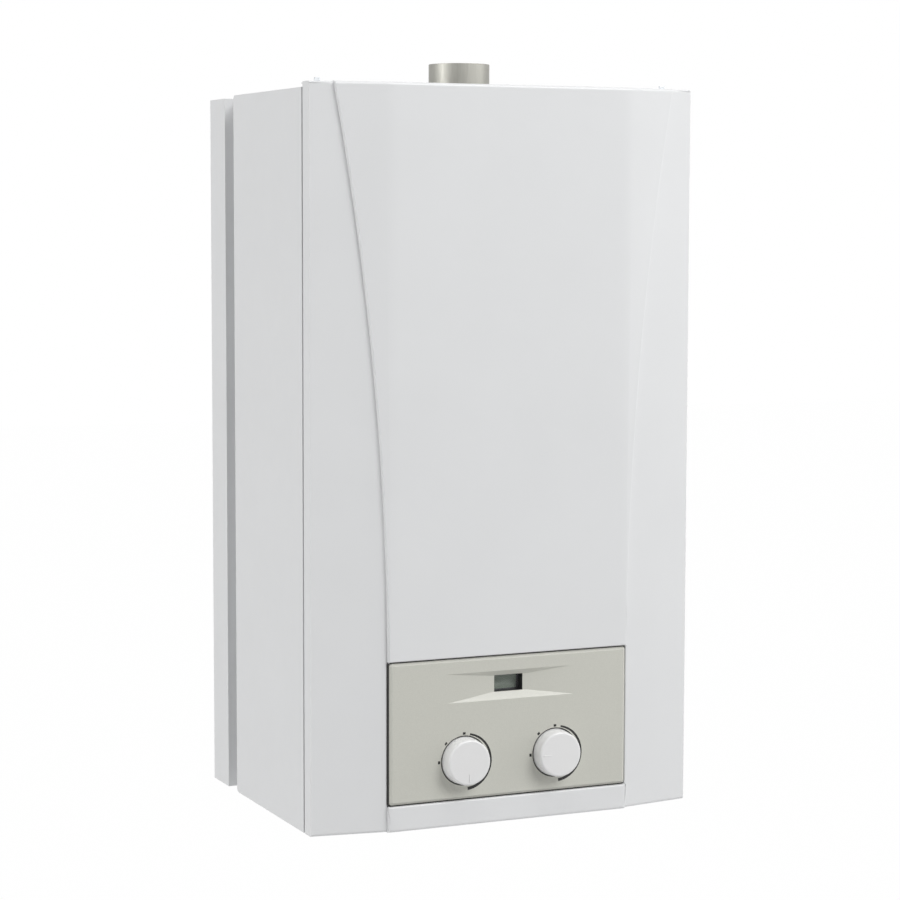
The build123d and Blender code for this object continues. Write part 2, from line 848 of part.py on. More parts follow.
# Flue spigot: a galvanised tube on a square flange over the lid
with BuildPart() as flue_spigot:
    with BuildSketch(level_plane(lid_top, 0, flue_depth)):
        Rectangle(flue_flange, flue_flange)
        chamfer(vertices(), length=panel_corner_radius)
    extrude(amount=lid_sheet)
    entry = level_plane(lid_top - flue_entry, 0, flue_depth)
    flue_length = flue_entry + casing_height + flue_rise - lid_top
    boss(entry, flue_radius, flue_entry, flats=drum_flats)
    rod(level_plane(lid_top, 0, flue_depth), flue_radius, flue_length - flue_entry)
    boss(entry, flue_radius - flue_wall, flue_length, mode=Mode.SUBTRACT, flats=knob_flats)
flue_spigot.part.label = "flue_spigot"
export_step(flue_spigot.part, "parts/flue_spigot.step")

# Two blanking caps that close the air intakes until a duct is fitted
with BuildPart() as intake_caps:
    with BuildSketch(level_plane(lid_top, 0, flue_depth)):
        with GridLocations(intake_spacing, 0, 2, 1):
            RegularPolygon(intake_radius + intake_lap, drum_flats)
    extrude(amount=lid_sheet)
    chamfer(faces().group_by(Axis.Z)[-1].edges(), length=intake_cap_edge)
intake_caps.part.label = "intake_caps"
export_step(intake_caps.part, "parts/intake_caps.step")


def scroll_outline(inset):
    """The fan's scroll from the front: three growing quarter turns and the outlet."""
    with BuildSketch(front_plane(fan_back_depth + inset)) as outline:
        with BuildLine():
            quarters = [scroll_start + turn * scroll_growth for turn in range(scroll_quarters)]
            turn = JernArc((scroll_x, scroll_z), (-1, 0), quarters[0], quarter_turn)
            for radius in quarters[1:]:
                turn = JernArc(turn @ 1, turn % 1, radius, quarter_turn)
            rise = Line(turn @ 1, ((turn @ 1).X, fan_top))
            tongue_x = (turn @ 1).X - 2 * (flue_radius - flue_wall)
            Polyline(rise @ 1, (tongue_x, fan_top), (tongue_x, scroll_z), (scroll_x, scroll_z))
        make_face()
        if inset:
            offset(amount=-inset)
    return outline.sketch


# Fan housing: a sheet-steel scroll with an inlet at the back and a round collar on top
with BuildPart() as fan_housing:
    extrude(scroll_outline(0), amount=fan_width)
    extrude(scroll_outline(fan_wall), amount=fan_width - 2 * fan_wall, mode=Mode.SUBTRACT)
    collar_radius = flue_radius - flue_wall - fit
    collar = level_plane(fan_top - fan_wall, 0, flue_depth)
    boss(collar, collar_radius, fan_roof_drop - fit, flats=drum_flats)
    boss(collar, collar_radius - 2 * fan_wall, fan_roof_drop, mode=Mode.SUBTRACT, flats=drum_flats)
    fan_eye = front_plane(fan_back_depth, fan_x, fan_z)
    boss(fan_eye, fan_inlet_radius, fan_wall, mode=Mode.SUBTRACT, flats=drum_flats)
    shaft_hole = front_plane(fan_front_depth - fan_wall, fan_x, fan_z)
    boss(shaft_hole, shaft_radius + hole_gap, fan_wall, mode=Mode.SUBTRACT)
fan_housing.part.label = "fan_housing"
export_step(fan_housing.part, "parts/fan_housing.step")

# Fan impeller: straight blades between a disc and the hub, on a shaft into the motor
with BuildPart() as fan_impeller:
    impeller_front = flue_depth + impeller_width / 2
    disc_place = front_plane(impeller_front - blade_thickness, fan_x, fan_z)
    boss(disc_place, impeller_radius, blade_thickness, flats=drum_flats)
    with BuildSketch(front_plane(impeller_front - impeller_width, fan_x, fan_z)):
        blade_length = impeller_radius - fan_inlet_radius + blade_thickness
        with PolarLocations(impeller_radius - blade_length / 2 - blade_thickness, blade_count):
            Rectangle(blade_length, blade_thickness, rotation=blade_angle)
    extrude(amount=impeller_width - blade_thickness)
    hub_place = front_plane(impeller_front - impeller_width / 2, fan_x, fan_z)
    boss(hub_place, hub_radius, impeller_width / 2)
    shaft_run = fan_front_depth + fan_motor_stack / 2 - impeller_front
    rod(front_plane(impeller_front, fan_x, fan_z), shaft_radius, shaft_run)
fan_impeller.part.label = "fan_impeller"
export_step(fan_impeller.part, "parts/fan_impeller.step")

# Fan motor: a laminated stack with a coil beside it and a rounded bearing cap
with BuildPart() as fan_motor:
    with BuildSketch(front_plane(fan_front_depth, fan_x, fan_z)):
        Rectangle(fan_motor_width, fan_motor_height)
        chamfer(vertices(), length=panel_corner_radius)
    extrude(amount=fan_motor_stack)
    with BuildSketch(front_plane(fan_front_depth + fan_motor_stack, fan_x, fan_z)):
        Rectangle(bearing_width, bearing_height)
        chamfer(vertices(), length=panel_corner_radius)
    extrude(amount=fan_motor_cap)
    chamfer(faces().sort_by(Axis.Y)[0].edges(), length=bearing_edge)
    bearing = front_plane(fan_front_depth, fan_x, fan_z)
    boss(bearing, shaft_radius + shaft_fit, fan_motor_stack, mode=Mode.SUBTRACT)
fan_motor.part.label = "fan_motor"
export_step(fan_motor.part, "parts/fan_motor.step")

# Air pressure switch on the chamber's right wall, with two nipples for its hoses
with BuildPart() as air_pressure_switch:
    switch_z = chamber_roof - switch_drop
    switch_x = inner_half - sheet - switch_thickness
    boss(side_plane(switch_x, flue_depth, switch_z), switch_radius, switch_thickness, flats=drum_flats)
    for side in (-1, 1):
        nipple = side_plane(switch_x - nipple_length, flue_depth + side * hose_pitch / 2, switch_z)
        boss(nipple, nipple_radius, nipple_length)
air_pressure_switch.part.label = "air_pressure_switch"
export_step(air_pressure_switch.part, "parts/air_pressure_switch.step")

# Two silicone hoses from the fan's outlet to the switch
with BuildPart() as pressure_hoses:
    outlet_x = flue_radius - flue_wall + fit
    for side in (-1, 1):
        run = flue_depth + side * hose_pitch / 2
        pipe(
            [
                (outlet_x, -run, fan_z + side * hose_pitch / 2),
                (outlet_x + hose_start, -run, fan_z + side * hose_pitch / 2),
                (switch_x - nipple_length - hose_end, -run, switch_z),
                (switch_x - nipple_length, -run, switch_z),
            ],
            hose_bend,
            hose_radius,
            hose_flats,
        )
pressure_hoses.part.label = "pressure_hoses"
export_step(pressure_hoses.part, "parts/pressure_hoses.step")


def hood_block(wall):
    """The hood as a solid, a taper below and a duct above, drawn in by the wall."""
    low_half = fire_half - wall
    high_span = (fan_x - duct_half + wall, fan_x + duct_half - wall)
    duct_run = (-duct_back_depth - wall, -duct_front_depth + wall)
    with BuildPart() as block:
        with BuildSketch(front_plane(0)):
            with BuildLine():
                Polyline(
                    (-low_half, hood_base),
                    (low_half, hood_base),
                    (high_span[1], duct_z),
                    (high_span[1], duct_top - wall),
                    (high_span[0], duct_top - wall),
                    (high_span[0], duct_z),
                    close=True,
                )
            make_face()
        extrude(amount=front_depth)
        with BuildSketch(side_plane(-half_width)):
            with BuildLine():
                Polyline(
                    (-fire_back_depth - wall, hood_base),
                    (-fire_front_depth + wall, hood_base),
                    (duct_run[1], duct_z),
                    (duct_run[1], duct_top - wall),
                    (duct_run[0], duct_top - wall),
                    (duct_run[0], duct_z),
                    close=True,
                )
            make_face()
        extrude(amount=casing_width, mode=Mode.INTERSECT)
    return block.part


# Fume hood: a tapering shell over the heat exchanger with a duct behind the fan
hood_base = exchanger_top + fit
duct_front_depth = fan_back_depth - fit
duct_back_depth = chamber_back_depth + duct_gap
duct_z = hood_base + hood_slope
duct_top = fan_z + fan_inlet_radius + 2 * fan_wall
with BuildPart() as fume_hood:
    add(hood_block(0))
    add(hood_block(sheet), mode=Mode.SUBTRACT)
    inlet_place = front_plane(duct_front_depth - sheet, fan_x, fan_z)
    boss(inlet_place, fan_inlet_radius, sheet, mode=Mode.SUBTRACT, flats=drum_flats)
fume_hood.part.label = "fume_hood"
export_step(fume_hood.part, "parts/fume_hood.step")

# Heat exchanger: a finned block with a return bend box and a stub at each end
with BuildPart() as heat_exchanger:
    fire_mid_depth = (fire_front_depth + fire_back_depth) / 2
    with BuildSketch(level_plane(exchanger_base, 0, fire_mid_depth)):
        Rectangle(2 * fire_half, fire_front_depth - fire_back_depth)
    extrude(amount=exchanger_height)
    fin_pitch = (2 * fire_half - 2 * board_thickness) / fin_count
    for level, way in ((exchanger_top, -1), (exchanger_base, 1)):
        with BuildSketch(level_plane(level, 0, fire_mid_depth)):
            with GridLocations(fin_pitch, 0, fin_count, 1):
                Rectangle(fin_gap, fire_front_depth - fire_back_depth - 2 * sheet)
        extrude(amount=way * fin_depth, mode=Mode.SUBTRACT)
    stub_z = exchanger_top - stub_drop
    for side in (-1, 1):
        end_face = side_plane(side * fire_half, fire_mid_depth, exchanger_base + exchanger_height / 2)
        with BuildSketch(end_face):
            Rectangle(fire_front_depth - fire_back_depth - 2 * end_box_margin, exchanger_height / 2)
            chamfer(vertices(), length=end_box_margin)
        extrude(amount=side * end_box_length)
        with BuildSketch(side_plane(side * fire_half, stub_depth, stub_z)):
            RegularPolygon(stub_radius, pipe_flats)
        extrude(amount=side * stub_length)
heat_exchanger.part.label = "heat_exchanger"
export_step(heat_exchanger.part, "parts/heat_exchanger.step")

# Combustion chamber: four sheet walls between the burner and the heat exchanger
with BuildPart() as combustion_chamber:
    electrode_z = fire_floor + 2 * electrode_radius + board_thickness / 2
    electrode_x = [-electrode_pitch, 0.0, electrode_pitch]
    with BuildSketch(level_plane(fire_floor, 0, fire_mid_depth)):
        Rectangle(2 * fire_half, fire_front_depth - fire_back_depth)
        offset(amount=-sheet, kind=Kind.INTERSECTION, mode=Mode.SUBTRACT)
    extrude(amount=fire_height)
    for x in electrode_x:
        hole = front_plane(fire_front_depth - sheet, x, electrode_z)
        boss(hole, electrode_radius + fit, sheet, mode=Mode.SUBTRACT)
combustion_chamber.part.label = "combustion_chamber"
export_step(combustion_chamber.part, "parts/combustion_chamber.step")

# Ceramic-fibre boards that line the combustion chamber
with BuildPart() as insulation_boards:
    liner_half = fire_half - sheet - fit
    liner_front = fire_front_depth - sheet - fit
    liner_back = fire_back_depth + sheet + fit
    board_z = (fire_floor, fire_floor + fire_height)
    slab((-liner_half, liner_half), (liner_front - board_thickness, liner_front), board_z)
    slab((-liner_half, liner_half), (liner_back, liner_back + board_thickness), board_z)
    for side in (-1, 1):
        span = sorted([side * liner_half, side * (liner_half - board_thickness)])
        run = (liner_back + board_thickness + fit, liner_front - board_thickness - fit)
        slab(span, run, board_z)
    for x in electrode_x:
        hole = front_plane(liner_front - board_thickness, x, electrode_z)
        boss(hole, electrode_radius + fit, board_thickness, mode=Mode.SUBTRACT)
insulation_boards.part.label = "insulation_boards"
export_step(insulation_boards.part, "parts/insulation_boards.step")

# Three electrodes in ceramic sleeves: two that spark and one that senses the flame
with BuildPart() as electrodes:
    for x in electrode_x:
        sleeve = front_plane(fire_front_depth + electrode_reach - electrode_length, x, electrode_z)
        boss(sleeve, electrode_radius, electrode_length)
electrodes.part.label = "electrodes"
export_step(electrodes.part, "parts/electrodes.step")

# Burner: bevelled bars on two cross rails, between side plates that stand on the floor
with BuildPart() as burner:
    bar_base = chamber_floor + sheet + fit + burner_base
    bar_back = fire_back_depth + 2 * sheet
    bar_front = manifold_depth - manifold_width / 2 - injector_length - fit
    with BuildSketch(front_plane(bar_back, 0, bar_base + burner_bar_height / 2)):
        with GridLocations(burner_bar_pitch, 0, burner_bars, 1):
            Rectangle(burner_bar_width, burner_bar_height)
        chamfer(vertices().group_by(Axis.Y)[-1], length=burner_bar_chamfer)
    extrude(amount=bar_front - bar_back)
    for depth in (bar_back + burner_bar_width, bar_front - 2 * burner_bar_width):
        slab((-fire_half, fire_half), (depth, depth + 2 * sheet), (bar_base - burner_bar_width, bar_base))
    for side in (-1, 1):
        span = sorted([side * fire_half, side * (fire_half - 2 * sheet)])
        slab(span, (fire_back_depth, fire_front_depth), (chamber_floor + sheet + fit, fire_floor - fit))
burner.part.label = "burner"
export_step(burner.part, "parts/burner.step")

# Gas manifold: a square tube with one injector before each burner bar and an inlet below
with BuildPart() as gas_manifold:
    manifold_half = burner_bars * burner_bar_pitch / 2
    manifold_back = manifold_depth - manifold_width / 2
    manifold_z = bar_base + burner_bar_height / 2
    manifold_rise = (manifold_z - manifold_height / 2, manifold_z + manifold_height / 2)
    slab((-manifold_half, manifold_half), (manifold_back, manifold_back + manifold_width), manifold_rise)
    chamfer(edges().filter_by(Axis.X), length=manifold_chamfer)
    with BuildSketch(front_plane(manifold_back - injector_length, 0, manifold_z)):
        with GridLocations(burner_bar_pitch, 0, burner_bars, 1):
            RegularPolygon(injector_radius, nut_flats)
    extrude(amount=injector_length)
    inlet_low = chamber_floor + sheet + fit
    inlet_place = level_plane(inlet_low, gas_x, manifold_depth)
    boss(inlet_place, burner_pipe_radius, manifold_z - inlet_low, flats=pipe_flats)
gas_manifold.part.label = "gas_manifold"
export_step(gas_manifold.part, "parts/gas_manifold.step")

# Gas valve: a cast body with flanged ends, two solenoid coils and a regulator cap
with BuildPart() as gas_valve:
    valve_mid = (gas_valve_front_depth + gas_valve_back_depth) / 2
    valve_run = gas_valve_front_depth - gas_valve_back_depth
    valve_top = gas_valve_base + gas_valve_height
    with BuildSketch(level_plane(gas_valve_base, gas_x, valve_mid)):
        Rectangle(2 * gas_valve_half, valve_run)
        chamfer(vertices(), length=gas_valve_corner)
    extrude(amount=gas_valve_height)
    chamfer(faces().sort_by(Axis.Z)[-1].edges(), length=gas_valve_edge)
    coil_depth = gas_valve_front_depth - coil_radius
    for side in (-1, 1):
        coil_x = gas_x + side * (gas_valve_half - coil_radius)
        boss(level_plane(valve_top, coil_x, coil_depth), coil_radius, coil_height, flats=pipe_flats)
    regulator = front_plane(gas_valve_front_depth, gas_x, gas_valve_base + gas_valve_height / 2)
    boss(regulator, coil_radius, injector_length, flats=pipe_flats)
    outlet_depth = gas_pipe_depth - coil_radius
    outlet = level_plane(valve_top, gas_x, outlet_depth)
    boss(outlet, burner_pipe_radius + nut_extra, coil_height / 2, flats=nut_flats)
gas_valve.part.label = "gas_valve"
export_step(gas_valve.part, "parts/gas_valve.step")

# Gas supply pipe: the threaded tail, its nut and the bent pipe to the valve's underside
with BuildPart() as gas_supply_pipe:
    pipe(
        [
            (gas_x, -tail_depth, socket_base),
            (gas_x, -tail_depth, gas_run_height),
            (gas_x, -gas_pipe_depth, gas_run_height),
            (gas_x, -gas_pipe_depth, gas_valve_base),
        ],
        gas_bend,
        pipe_radius,
    )
    add(tails((gas_x,), heating_tail_radius, heating_tail_bore, socket_base - 2 * sheet))
    boss(level_plane(socket_base - 2 * sheet, gas_x, tail_depth), heating_tail_radius, 2 * sheet)
gas_supply_pipe.part.label = "gas_supply_pipe"
export_step(gas_supply_pipe.part, "parts/gas_supply_pipe.step")

# Burner gas pipe: from the valve's top outlet up through the chamber floor
with BuildPart() as burner_gas_pipe:
    pipe(
        [
            (gas_x, -outlet_depth, valve_top + coil_height / 2),
            (gas_x, -outlet_depth, gas_cross_height),
            (gas_x, -manifold_depth, gas_cross_height),
            (gas_x, -manifold_depth, inlet_low),
        ],
        pipe_bend,
        burner_pipe_radius,
    )
burner_gas_pipe.part.label = "burner_gas_pipe"
export_step(burner_gas_pipe.part, "parts/burner_gas_pipe.step")


def vessel_outline(plane, inset):
    """The vessel's outline, its rounded corners drawn as flats, drawn in by an inset."""
    with BuildSketch(plane) as outline:
        Rectangle(2 * vessel_half, vessel_height)
        chamfer(vertices(), length=vessel_corner)
        chamfer(vertices(), length=vessel_corner_step)
        if inset:
            offset(amount=-inset, kind=Kind.INTERSECTION)
    return outline.sketch


def vessel_shell(wall):
    """Both shells as one block with bevelled faces, drawn in by the wall's thickness."""
    deep = vessel_thickness - 2 * wall
    with BuildPart() as block:
        back = front_plane(vessel_back + wall, 0, vessel_z)
        extrude(vessel_outline(back, vessel_seam + wall), amount=deep)
        chamfer(faces().filter_by(Plane.XZ).edges(), length=vessel_bevel - wall)
    return block.part


# Expansion vessel: two pressed shells that meet in a seam, hollow, with its stub below
with BuildPart() as expansion_vessel:
    seam_plane = front_plane(vessel_mid - sheet, 0, vessel_z)
    extrude(vessel_outline(seam_plane, 0), amount=2 * sheet)
    add(vessel_shell(0))
    add(vessel_shell(vessel_wall), mode=Mode.SUBTRACT)
    vessel_stub = level_plane(vessel_base - vessel_lift, tap_x, vessel_mid)
    boss(vessel_stub, vessel_stub_radius, vessel_lift + vessel_seam + vessel_wall)
expansion_vessel.part.label = "expansion_vessel"
export_step(expansion_vessel.part, "parts/expansion_vessel.step")

with BuildPart() as vessel_pipe:
    header_z = plate_base + plate_height - plate_port_margin
    pipe(
        [
            (tap_x, -vessel_mid, vessel_base - vessel_lift),
            (tap_x, -vessel_mid, gas_cross_height),
            (tap_x, -header_depth, vent_base),
            (tap_x, -header_depth, header_z + header_radius),
        ],
        vessel_pipe_bend,
        vessel_pipe_radius,
    )
vessel_pipe.part.label = "vessel_pipe"
export_step(vessel_pipe.part, "parts/vessel_pipe.step")

# Flow manifold: the diverting valve's barrel with its inlet, the heating and hot-water
# sockets and the two ports at the left end of the plate heat exchanger
with BuildPart() as flow_manifold:
    barrel_height = barrel_top - barrel_base
    port_low = plate_base + plate_port_margin
    barrel = level_plane(barrel_base, flow_x, valve_depth)
    boss(barrel, barrel_radius, barrel_height, flats=pipe_flats)
    boss(front_plane(valve_depth, flow_x, inlet_height), arm_radius, inlet_depth - valve_depth)
    inlet_low_end = inlet_height - arm_radius
    boss(level_plane(inlet_low_end, flow_x, inlet_depth), arm_radius, inlet_top - inlet_low_end)
    boss(level_plane(socket_base, flow_x, tail_depth), socket_radius, socket_rise)
    boss(front_plane(tail_depth, flow_x, outlet_height), arm_radius, valve_depth - tail_depth)
    boss(level_plane(socket_base, hot_x, tail_depth), socket_radius, port_low + header_radius - socket_base)
    boss(front_plane(tail_depth, hot_x, port_low), plate_port_radius, plate_back_depth - tail_depth)
    boss(front_plane(header_depth, hot_x, header_z), plate_port_radius, plate_back_depth - header_depth)
    boss(side_plane(flow_x, header_depth, header_z), header_radius, hot_x - flow_x)
    header_end = header_depth - header_radius
    boss(front_plane(header_end, flow_x, header_z), header_radius, valve_depth - header_end)
    web_x = (hot_x - web_thickness / 2, hot_x + web_thickness / 2)
    slab(web_x, (tail_depth, plate_back_depth - sheet), (port_low, header_z))
    bore = level_plane(barrel_base + barrel_end, flow_x, valve_depth)
    bore_height = barrel_height - 2 * barrel_end
    boss(bore, barrel_bore, bore_height, mode=Mode.SUBTRACT, flats=pipe_flats)
    gland = level_plane(barrel_top - barrel_end, flow_x, valve_depth)
    boss(gland, stem_radius + shaft_fit, barrel_end, mode=Mode.SUBTRACT)
flow_manifold.part.label = "flow_manifold"
export_step(flow_manifold.part, "parts/flow_manifold.step")

with BuildPart() as valve_stem:
    plunger = level_plane(inlet_height, flow_x, valve_depth)
    boss(plunger, barrel_bore - plunger_gap, plunger_length, flats=pipe_flats)
    boss(plunger, stem_radius, barrel_top + stem_reach - inlet_height)
valve_stem.part.label = "valve_stem"
export_step(valve_stem.part, "parts/valve_stem.step")

with BuildPart() as valve_actuator:
    with BuildSketch(level_plane(barrel_top, flow_x, valve_depth)):
        Rectangle(actuator_width, actuator_depth)
        chamfer(vertices(), length=actuator_corner)
    extrude(amount=actuator_height)
    chamfer(faces().sort_by(Axis.Z)[-1].edges(), length=actuator_edge)
    bore = level_plane(barrel_top, flow_x, valve_depth)
    stem_room = stem_reach + stem_travel + hole_gap
    boss(bore, stem_radius + shaft_fit, stem_room, mode=Mode.SUBTRACT)
valve_actuator.part.label = "valve_actuator"
export_step(valve_actuator.part, "parts/valve_actuator.step")

# Plate heat exchanger: a brazed stack with ribbed sides between two end plates
with BuildSketch(Plane.XZ) as plate_core:
    Rectangle(2 * (plate_half - plate_groove), plate_height - 2 * plate_groove)
    chamfer(vertices(), length=plate_corner)
with BuildPart() as plate_exchanger:
    plate_mid = plate_base + plate_height / 2
    with BuildSketch(front_plane(plate_back_depth, 0, plate_mid)):
        Rectangle(2 * plate_half, plate_height)
        chamfer(vertices(), length=plate_corner)
    extrude(amount=plate_front_depth - plate_back_depth)
    rib_pitch = (plate_front_depth - plate_back_depth) / (plate_ribs + 1)
    for index in range(plate_ribs):
        groove_depth = plate_back_depth + (index + 1) * rib_pitch - plate_groove / 2
        with BuildSketch(front_plane(groove_depth, 0, plate_mid)):
            Rectangle(2 * plate_half, plate_height)
            add(plate_core.sketch_local, mode=Mode.SUBTRACT)
        extrude(amount=plate_groove, mode=Mode.SUBTRACT)
plate_exchanger.part.label = "plate_exchanger"
export_step(plate_exchanger.part, "parts/plate_exchanger.step")

# Pump: a cast volute with its ports and vent boss, the wet-rotor motor and the impeller
with BuildPart() as pump_body:
    pump_length = pump_front_depth - pump_back_depth
    volute = front_plane(pump_back_depth, return_x, pump_height)
    boss(volute, pump_radius, pump_length, flats=drum_flats)
    chamfer(faces().sort_by(Axis.Y)[-1].edges(), length=pump_wall)
    ports = level_plane(pump_port_low, return_x, pump_axis_depth)
    boss(ports, arm_radius, pump_port_high - pump_port_low)
    vent_neck = level_plane(pump_height, return_x + vent_offset, pump_axis_depth)
    boss(vent_neck, tap_radius, vent_base - pump_height)
    cavity = front_plane(pump_back_depth + pump_wall, return_x, pump_height)
    boss(cavity, pump_cavity, pump_length, mode=Mode.SUBTRACT, flats=drum_flats)
pump_body.part.label = "pump_body"
export_step(pump_body.part, "parts/pump_body.step")

with BuildPart() as pump_motor:
    motor_back = front_plane(pump_face_depth, return_x, pump_height)
    boss(motor_back, motor_radius, motor_length, flats=drum_flats)
    chamfer(faces().sort_by(Axis.Y)[0].edges(), length=pump_wall)
    motor_front = front_plane(pump_face_depth + motor_length, return_x, pump_height)
    boss(motor_front, motor_cap_radius, pump_wall, flats=pipe_flats)
    terminal_x = (return_x - motor_radius - terminal_reach, return_x)
    terminal_run = (pump_face_depth + terminal_inset, pump_face_depth + motor_length - terminal_inset)
    slab(terminal_x, terminal_run, (pump_height + terminal_reach, pump_height + motor_radius))
    boss(motor_back, shaft_radius + shaft_fit, motor_length / 2, mode=Mode.SUBTRACT)
pump_motor.part.label = "pump_motor"
export_step(pump_motor.part, "parts/pump_motor.step")

with BuildPart() as pump_impeller:
    impeller_back = pump_axis_depth - pump_impeller_width / 2
    back_disc = front_plane(impeller_back, return_x, pump_height)
    with BuildSketch(front_plane(impeller_back + 2 * blade_thickness, return_x, pump_height)):
        blade_reach = pump_impeller_radius - hub_radius
        with PolarLocations(hub_radius + blade_reach / 2 - blade_thickness, blade_count // 2):
            Rectangle(blade_reach, 2 * blade_thickness, rotation=pump_blade_angle)
    extrude(amount=pump_impeller_width - 2 * blade_thickness)
    boss(back_disc, pump_impeller_radius, 2 * blade_thickness, flats=drum_flats)
    boss(back_disc, hub_radius, pump_impeller_width)
    shaft_length = pump_face_depth + motor_length / 2 - hole_gap - impeller_back
    rod(back_disc, shaft_radius, shaft_length)
pump_impeller.part.label = "pump_impeller"
export_step(pump_impeller.part, "parts/pump_impeller.step")

# Automatic air vent beside the pump, with its screw cap
with BuildPart() as air_vent:
    vent_top = vent_base + vent_height
    vent_place = level_plane(vent_base, return_x + vent_offset, pump_axis_depth)
    boss(vent_place, vent_radius, vent_height, flats=pipe_flats)
    chamfer(faces().sort_by(Axis.Z)[-1].edges(), length=vent_edge)
    bore = level_plane(vent_top - cap_height, return_x + vent_offset, pump_axis_depth)
    boss(bore, shaft_radius + shaft_fit, cap_height, mode=Mode.SUBTRACT)
air_vent.part.label = "air_vent"
export_step(air_vent.part, "parts/air_vent.step")

with BuildPart() as air_vent_cap:
    boss(level_plane(vent_top + fit, return_x + vent_offset, pump_axis_depth), cap_radius, cap_height)
    pin_low = level_plane(vent_top - cap_height + hole_gap, return_x + vent_offset, pump_axis_depth)
    rod(pin_low, shaft_radius, cap_height)
air_vent_cap.part.label = "air_vent_cap"
export_step(air_vent_cap.part, "parts/air_vent_cap.step")

# Return manifold: the heating return up to the pump, the header from the plate heat
# exchanger, the cold-water socket with the flow sensor's bore, and two tap bodies
with BuildPart() as return_manifold:
    arm_low = return_arm_height - arm_radius
    header_end = header_depth - header_radius
    header_low = level_plane(return_arm_height, tap_x, header_depth)
    boss(level_plane(socket_base, return_x, tail_depth), socket_radius, socket_rise)
    boss(front_plane(tail_depth, return_x, return_arm_height), arm_radius, pump_axis_depth - tail_depth)
    boss(level_plane(arm_low, return_x, pump_axis_depth), arm_radius, pump_port_low - arm_low)
    boss(level_plane(tap_end, return_x, pump_axis_depth), tap_radius, return_arm_height - tap_end)
    boss(front_plane(header_end, cold_x, header_z), plate_port_radius, plate_back_depth - header_end)
    boss(side_plane(cold_x, header_depth, header_z), header_radius, tap_x - cold_x)
    boss(header_low, header_radius, header_z + header_radius - return_arm_height)
    boss(side_plane(tap_x, header_depth, return_arm_height), header_radius, return_x - tap_x)
    boss(level_plane(tap_end, tap_x, tail_depth), tap_radius, return_arm_height - tap_end)
    cold_socket = level_plane(socket_base, cold_x, tail_depth)
    boss(cold_socket, socket_radius, port_low + header_radius - socket_base)
    boss(side_plane(cold_x, tail_depth, filling_arm_height), tap_radius, tap_x - cold_x)
    boss(front_plane(tail_depth, cold_x, port_low), plate_port_radius, plate_back_depth - tail_depth)
    bore_rise = turbine_height + turbine_length + hole_gap - socket_base
    boss(cold_socket, turbine_radius + hole_gap, bore_rise, mode=Mode.SUBTRACT)
    axle_hole = level_plane(turbine_height, cold_x, tail_depth)
    boss(axle_hole, axle_radius + shaft_fit, turbine_length + 2 * axle_length, mode=Mode.SUBTRACT)
    for x, depth in ((tap_x, tail_depth), (return_x, pump_axis_depth)):
        pin_hole = level_plane(tap_end, x, depth)
        boss(pin_hole, shaft_radius + shaft_fit, tap_pin_length + hole_gap, mode=Mode.SUBTRACT)
return_manifold.part.label = "return_manifold"
export_step(return_manifold.part, "parts/return_manifold.step")

with BuildPart() as turbine_rotor:
    with BuildSketch(level_plane(turbine_height, cold_x, tail_depth)):
        RegularPolygon(2 * axle_radius, boss_flats)
        with PolarLocations(turbine_radius / 2, turbine_vanes):
            Rectangle(turbine_radius, axle_radius)
    extrude(amount=turbine_length)
    axle = level_plane(turbine_height, cold_x, tail_depth)
    rod(axle, axle_radius, turbine_length + axle_length + hole_gap)
turbine_rotor.part.label = "turbine_rotor"
export_step(turbine_rotor.part, "parts/turbine_rotor.step")


def grip_outline(radius):
    """A tap knob's outline: two turned hexagons that make twelve finger ridges."""
    with BuildSketch(Plane.XY) as outline:
        RegularPolygon(radius, grip_ridges // 2)
        RegularPolygon(radius, grip_ridges // 2, rotation=half_turn / grip_ridges)
    return outline.sketch_local


# Tap knobs under the bracket: a ridged grip on a pin
with BuildPart() as filling_knob:
    grip_top = tap_end - fit
    with BuildSketch(level_plane(grip_top - filling_knob_height, tap_x, tail_depth)):
        add(grip_outline(filling_knob_radius))
    extrude(amount=filling_knob_height)
    rod(level_plane(grip_top, tap_x, tail_depth), shaft_radius, tap_pin_length + fit)
filling_knob.part.label = "filling_knob"
export_step(filling_knob.part, "parts/filling_knob.step")

with BuildPart() as drain_knob:
    with BuildSketch(level_plane(grip_top - drain_knob_height, return_x, pump_axis_depth)):
        add(grip_outline(drain_knob_radius))
    extrude(amount=drain_knob_height)
    rod(level_plane(grip_top, return_x, pump_axis_depth), shaft_radius, tap_pin_length + fit)
drain_knob.part.label = "drain_knob"
export_step(drain_knob.part, "parts/drain_knob.step")

# Safety valve on the return riser, its outlet pointing down, and its test knob in front
with BuildPart() as safety_valve:
    relief_back = pump_axis_depth + arm_radius
    relief_clear = 2 * relief_radius
    boss(front_plane(relief_back - sheet, return_x, relief_height), relief_radius, relief_length)
    outlet = level_plane(bracket_height + relief_drop, return_x, relief_back + relief_length / 2)
    boss(outlet, relief_outlet_radius, relief_height - bracket_height - relief_drop)
    with BuildSketch(level_plane(relief_height - relief_clear, return_x, pump_axis_depth)):
        RegularPolygon(arm_radius, boss_flats)
    extrude(amount=2 * relief_clear, mode=Mode.SUBTRACT)
    relief_front = relief_back - sheet + relief_length
    bore = front_plane(relief_front - relief_pin_length - hole_gap, return_x, relief_height)
    boss(bore, shaft_radius + shaft_fit, relief_pin_length + hole_gap, mode=Mode.SUBTRACT)
safety_valve.part.label = "safety_valve"
export_step(safety_valve.part, "parts/safety_valve.step")

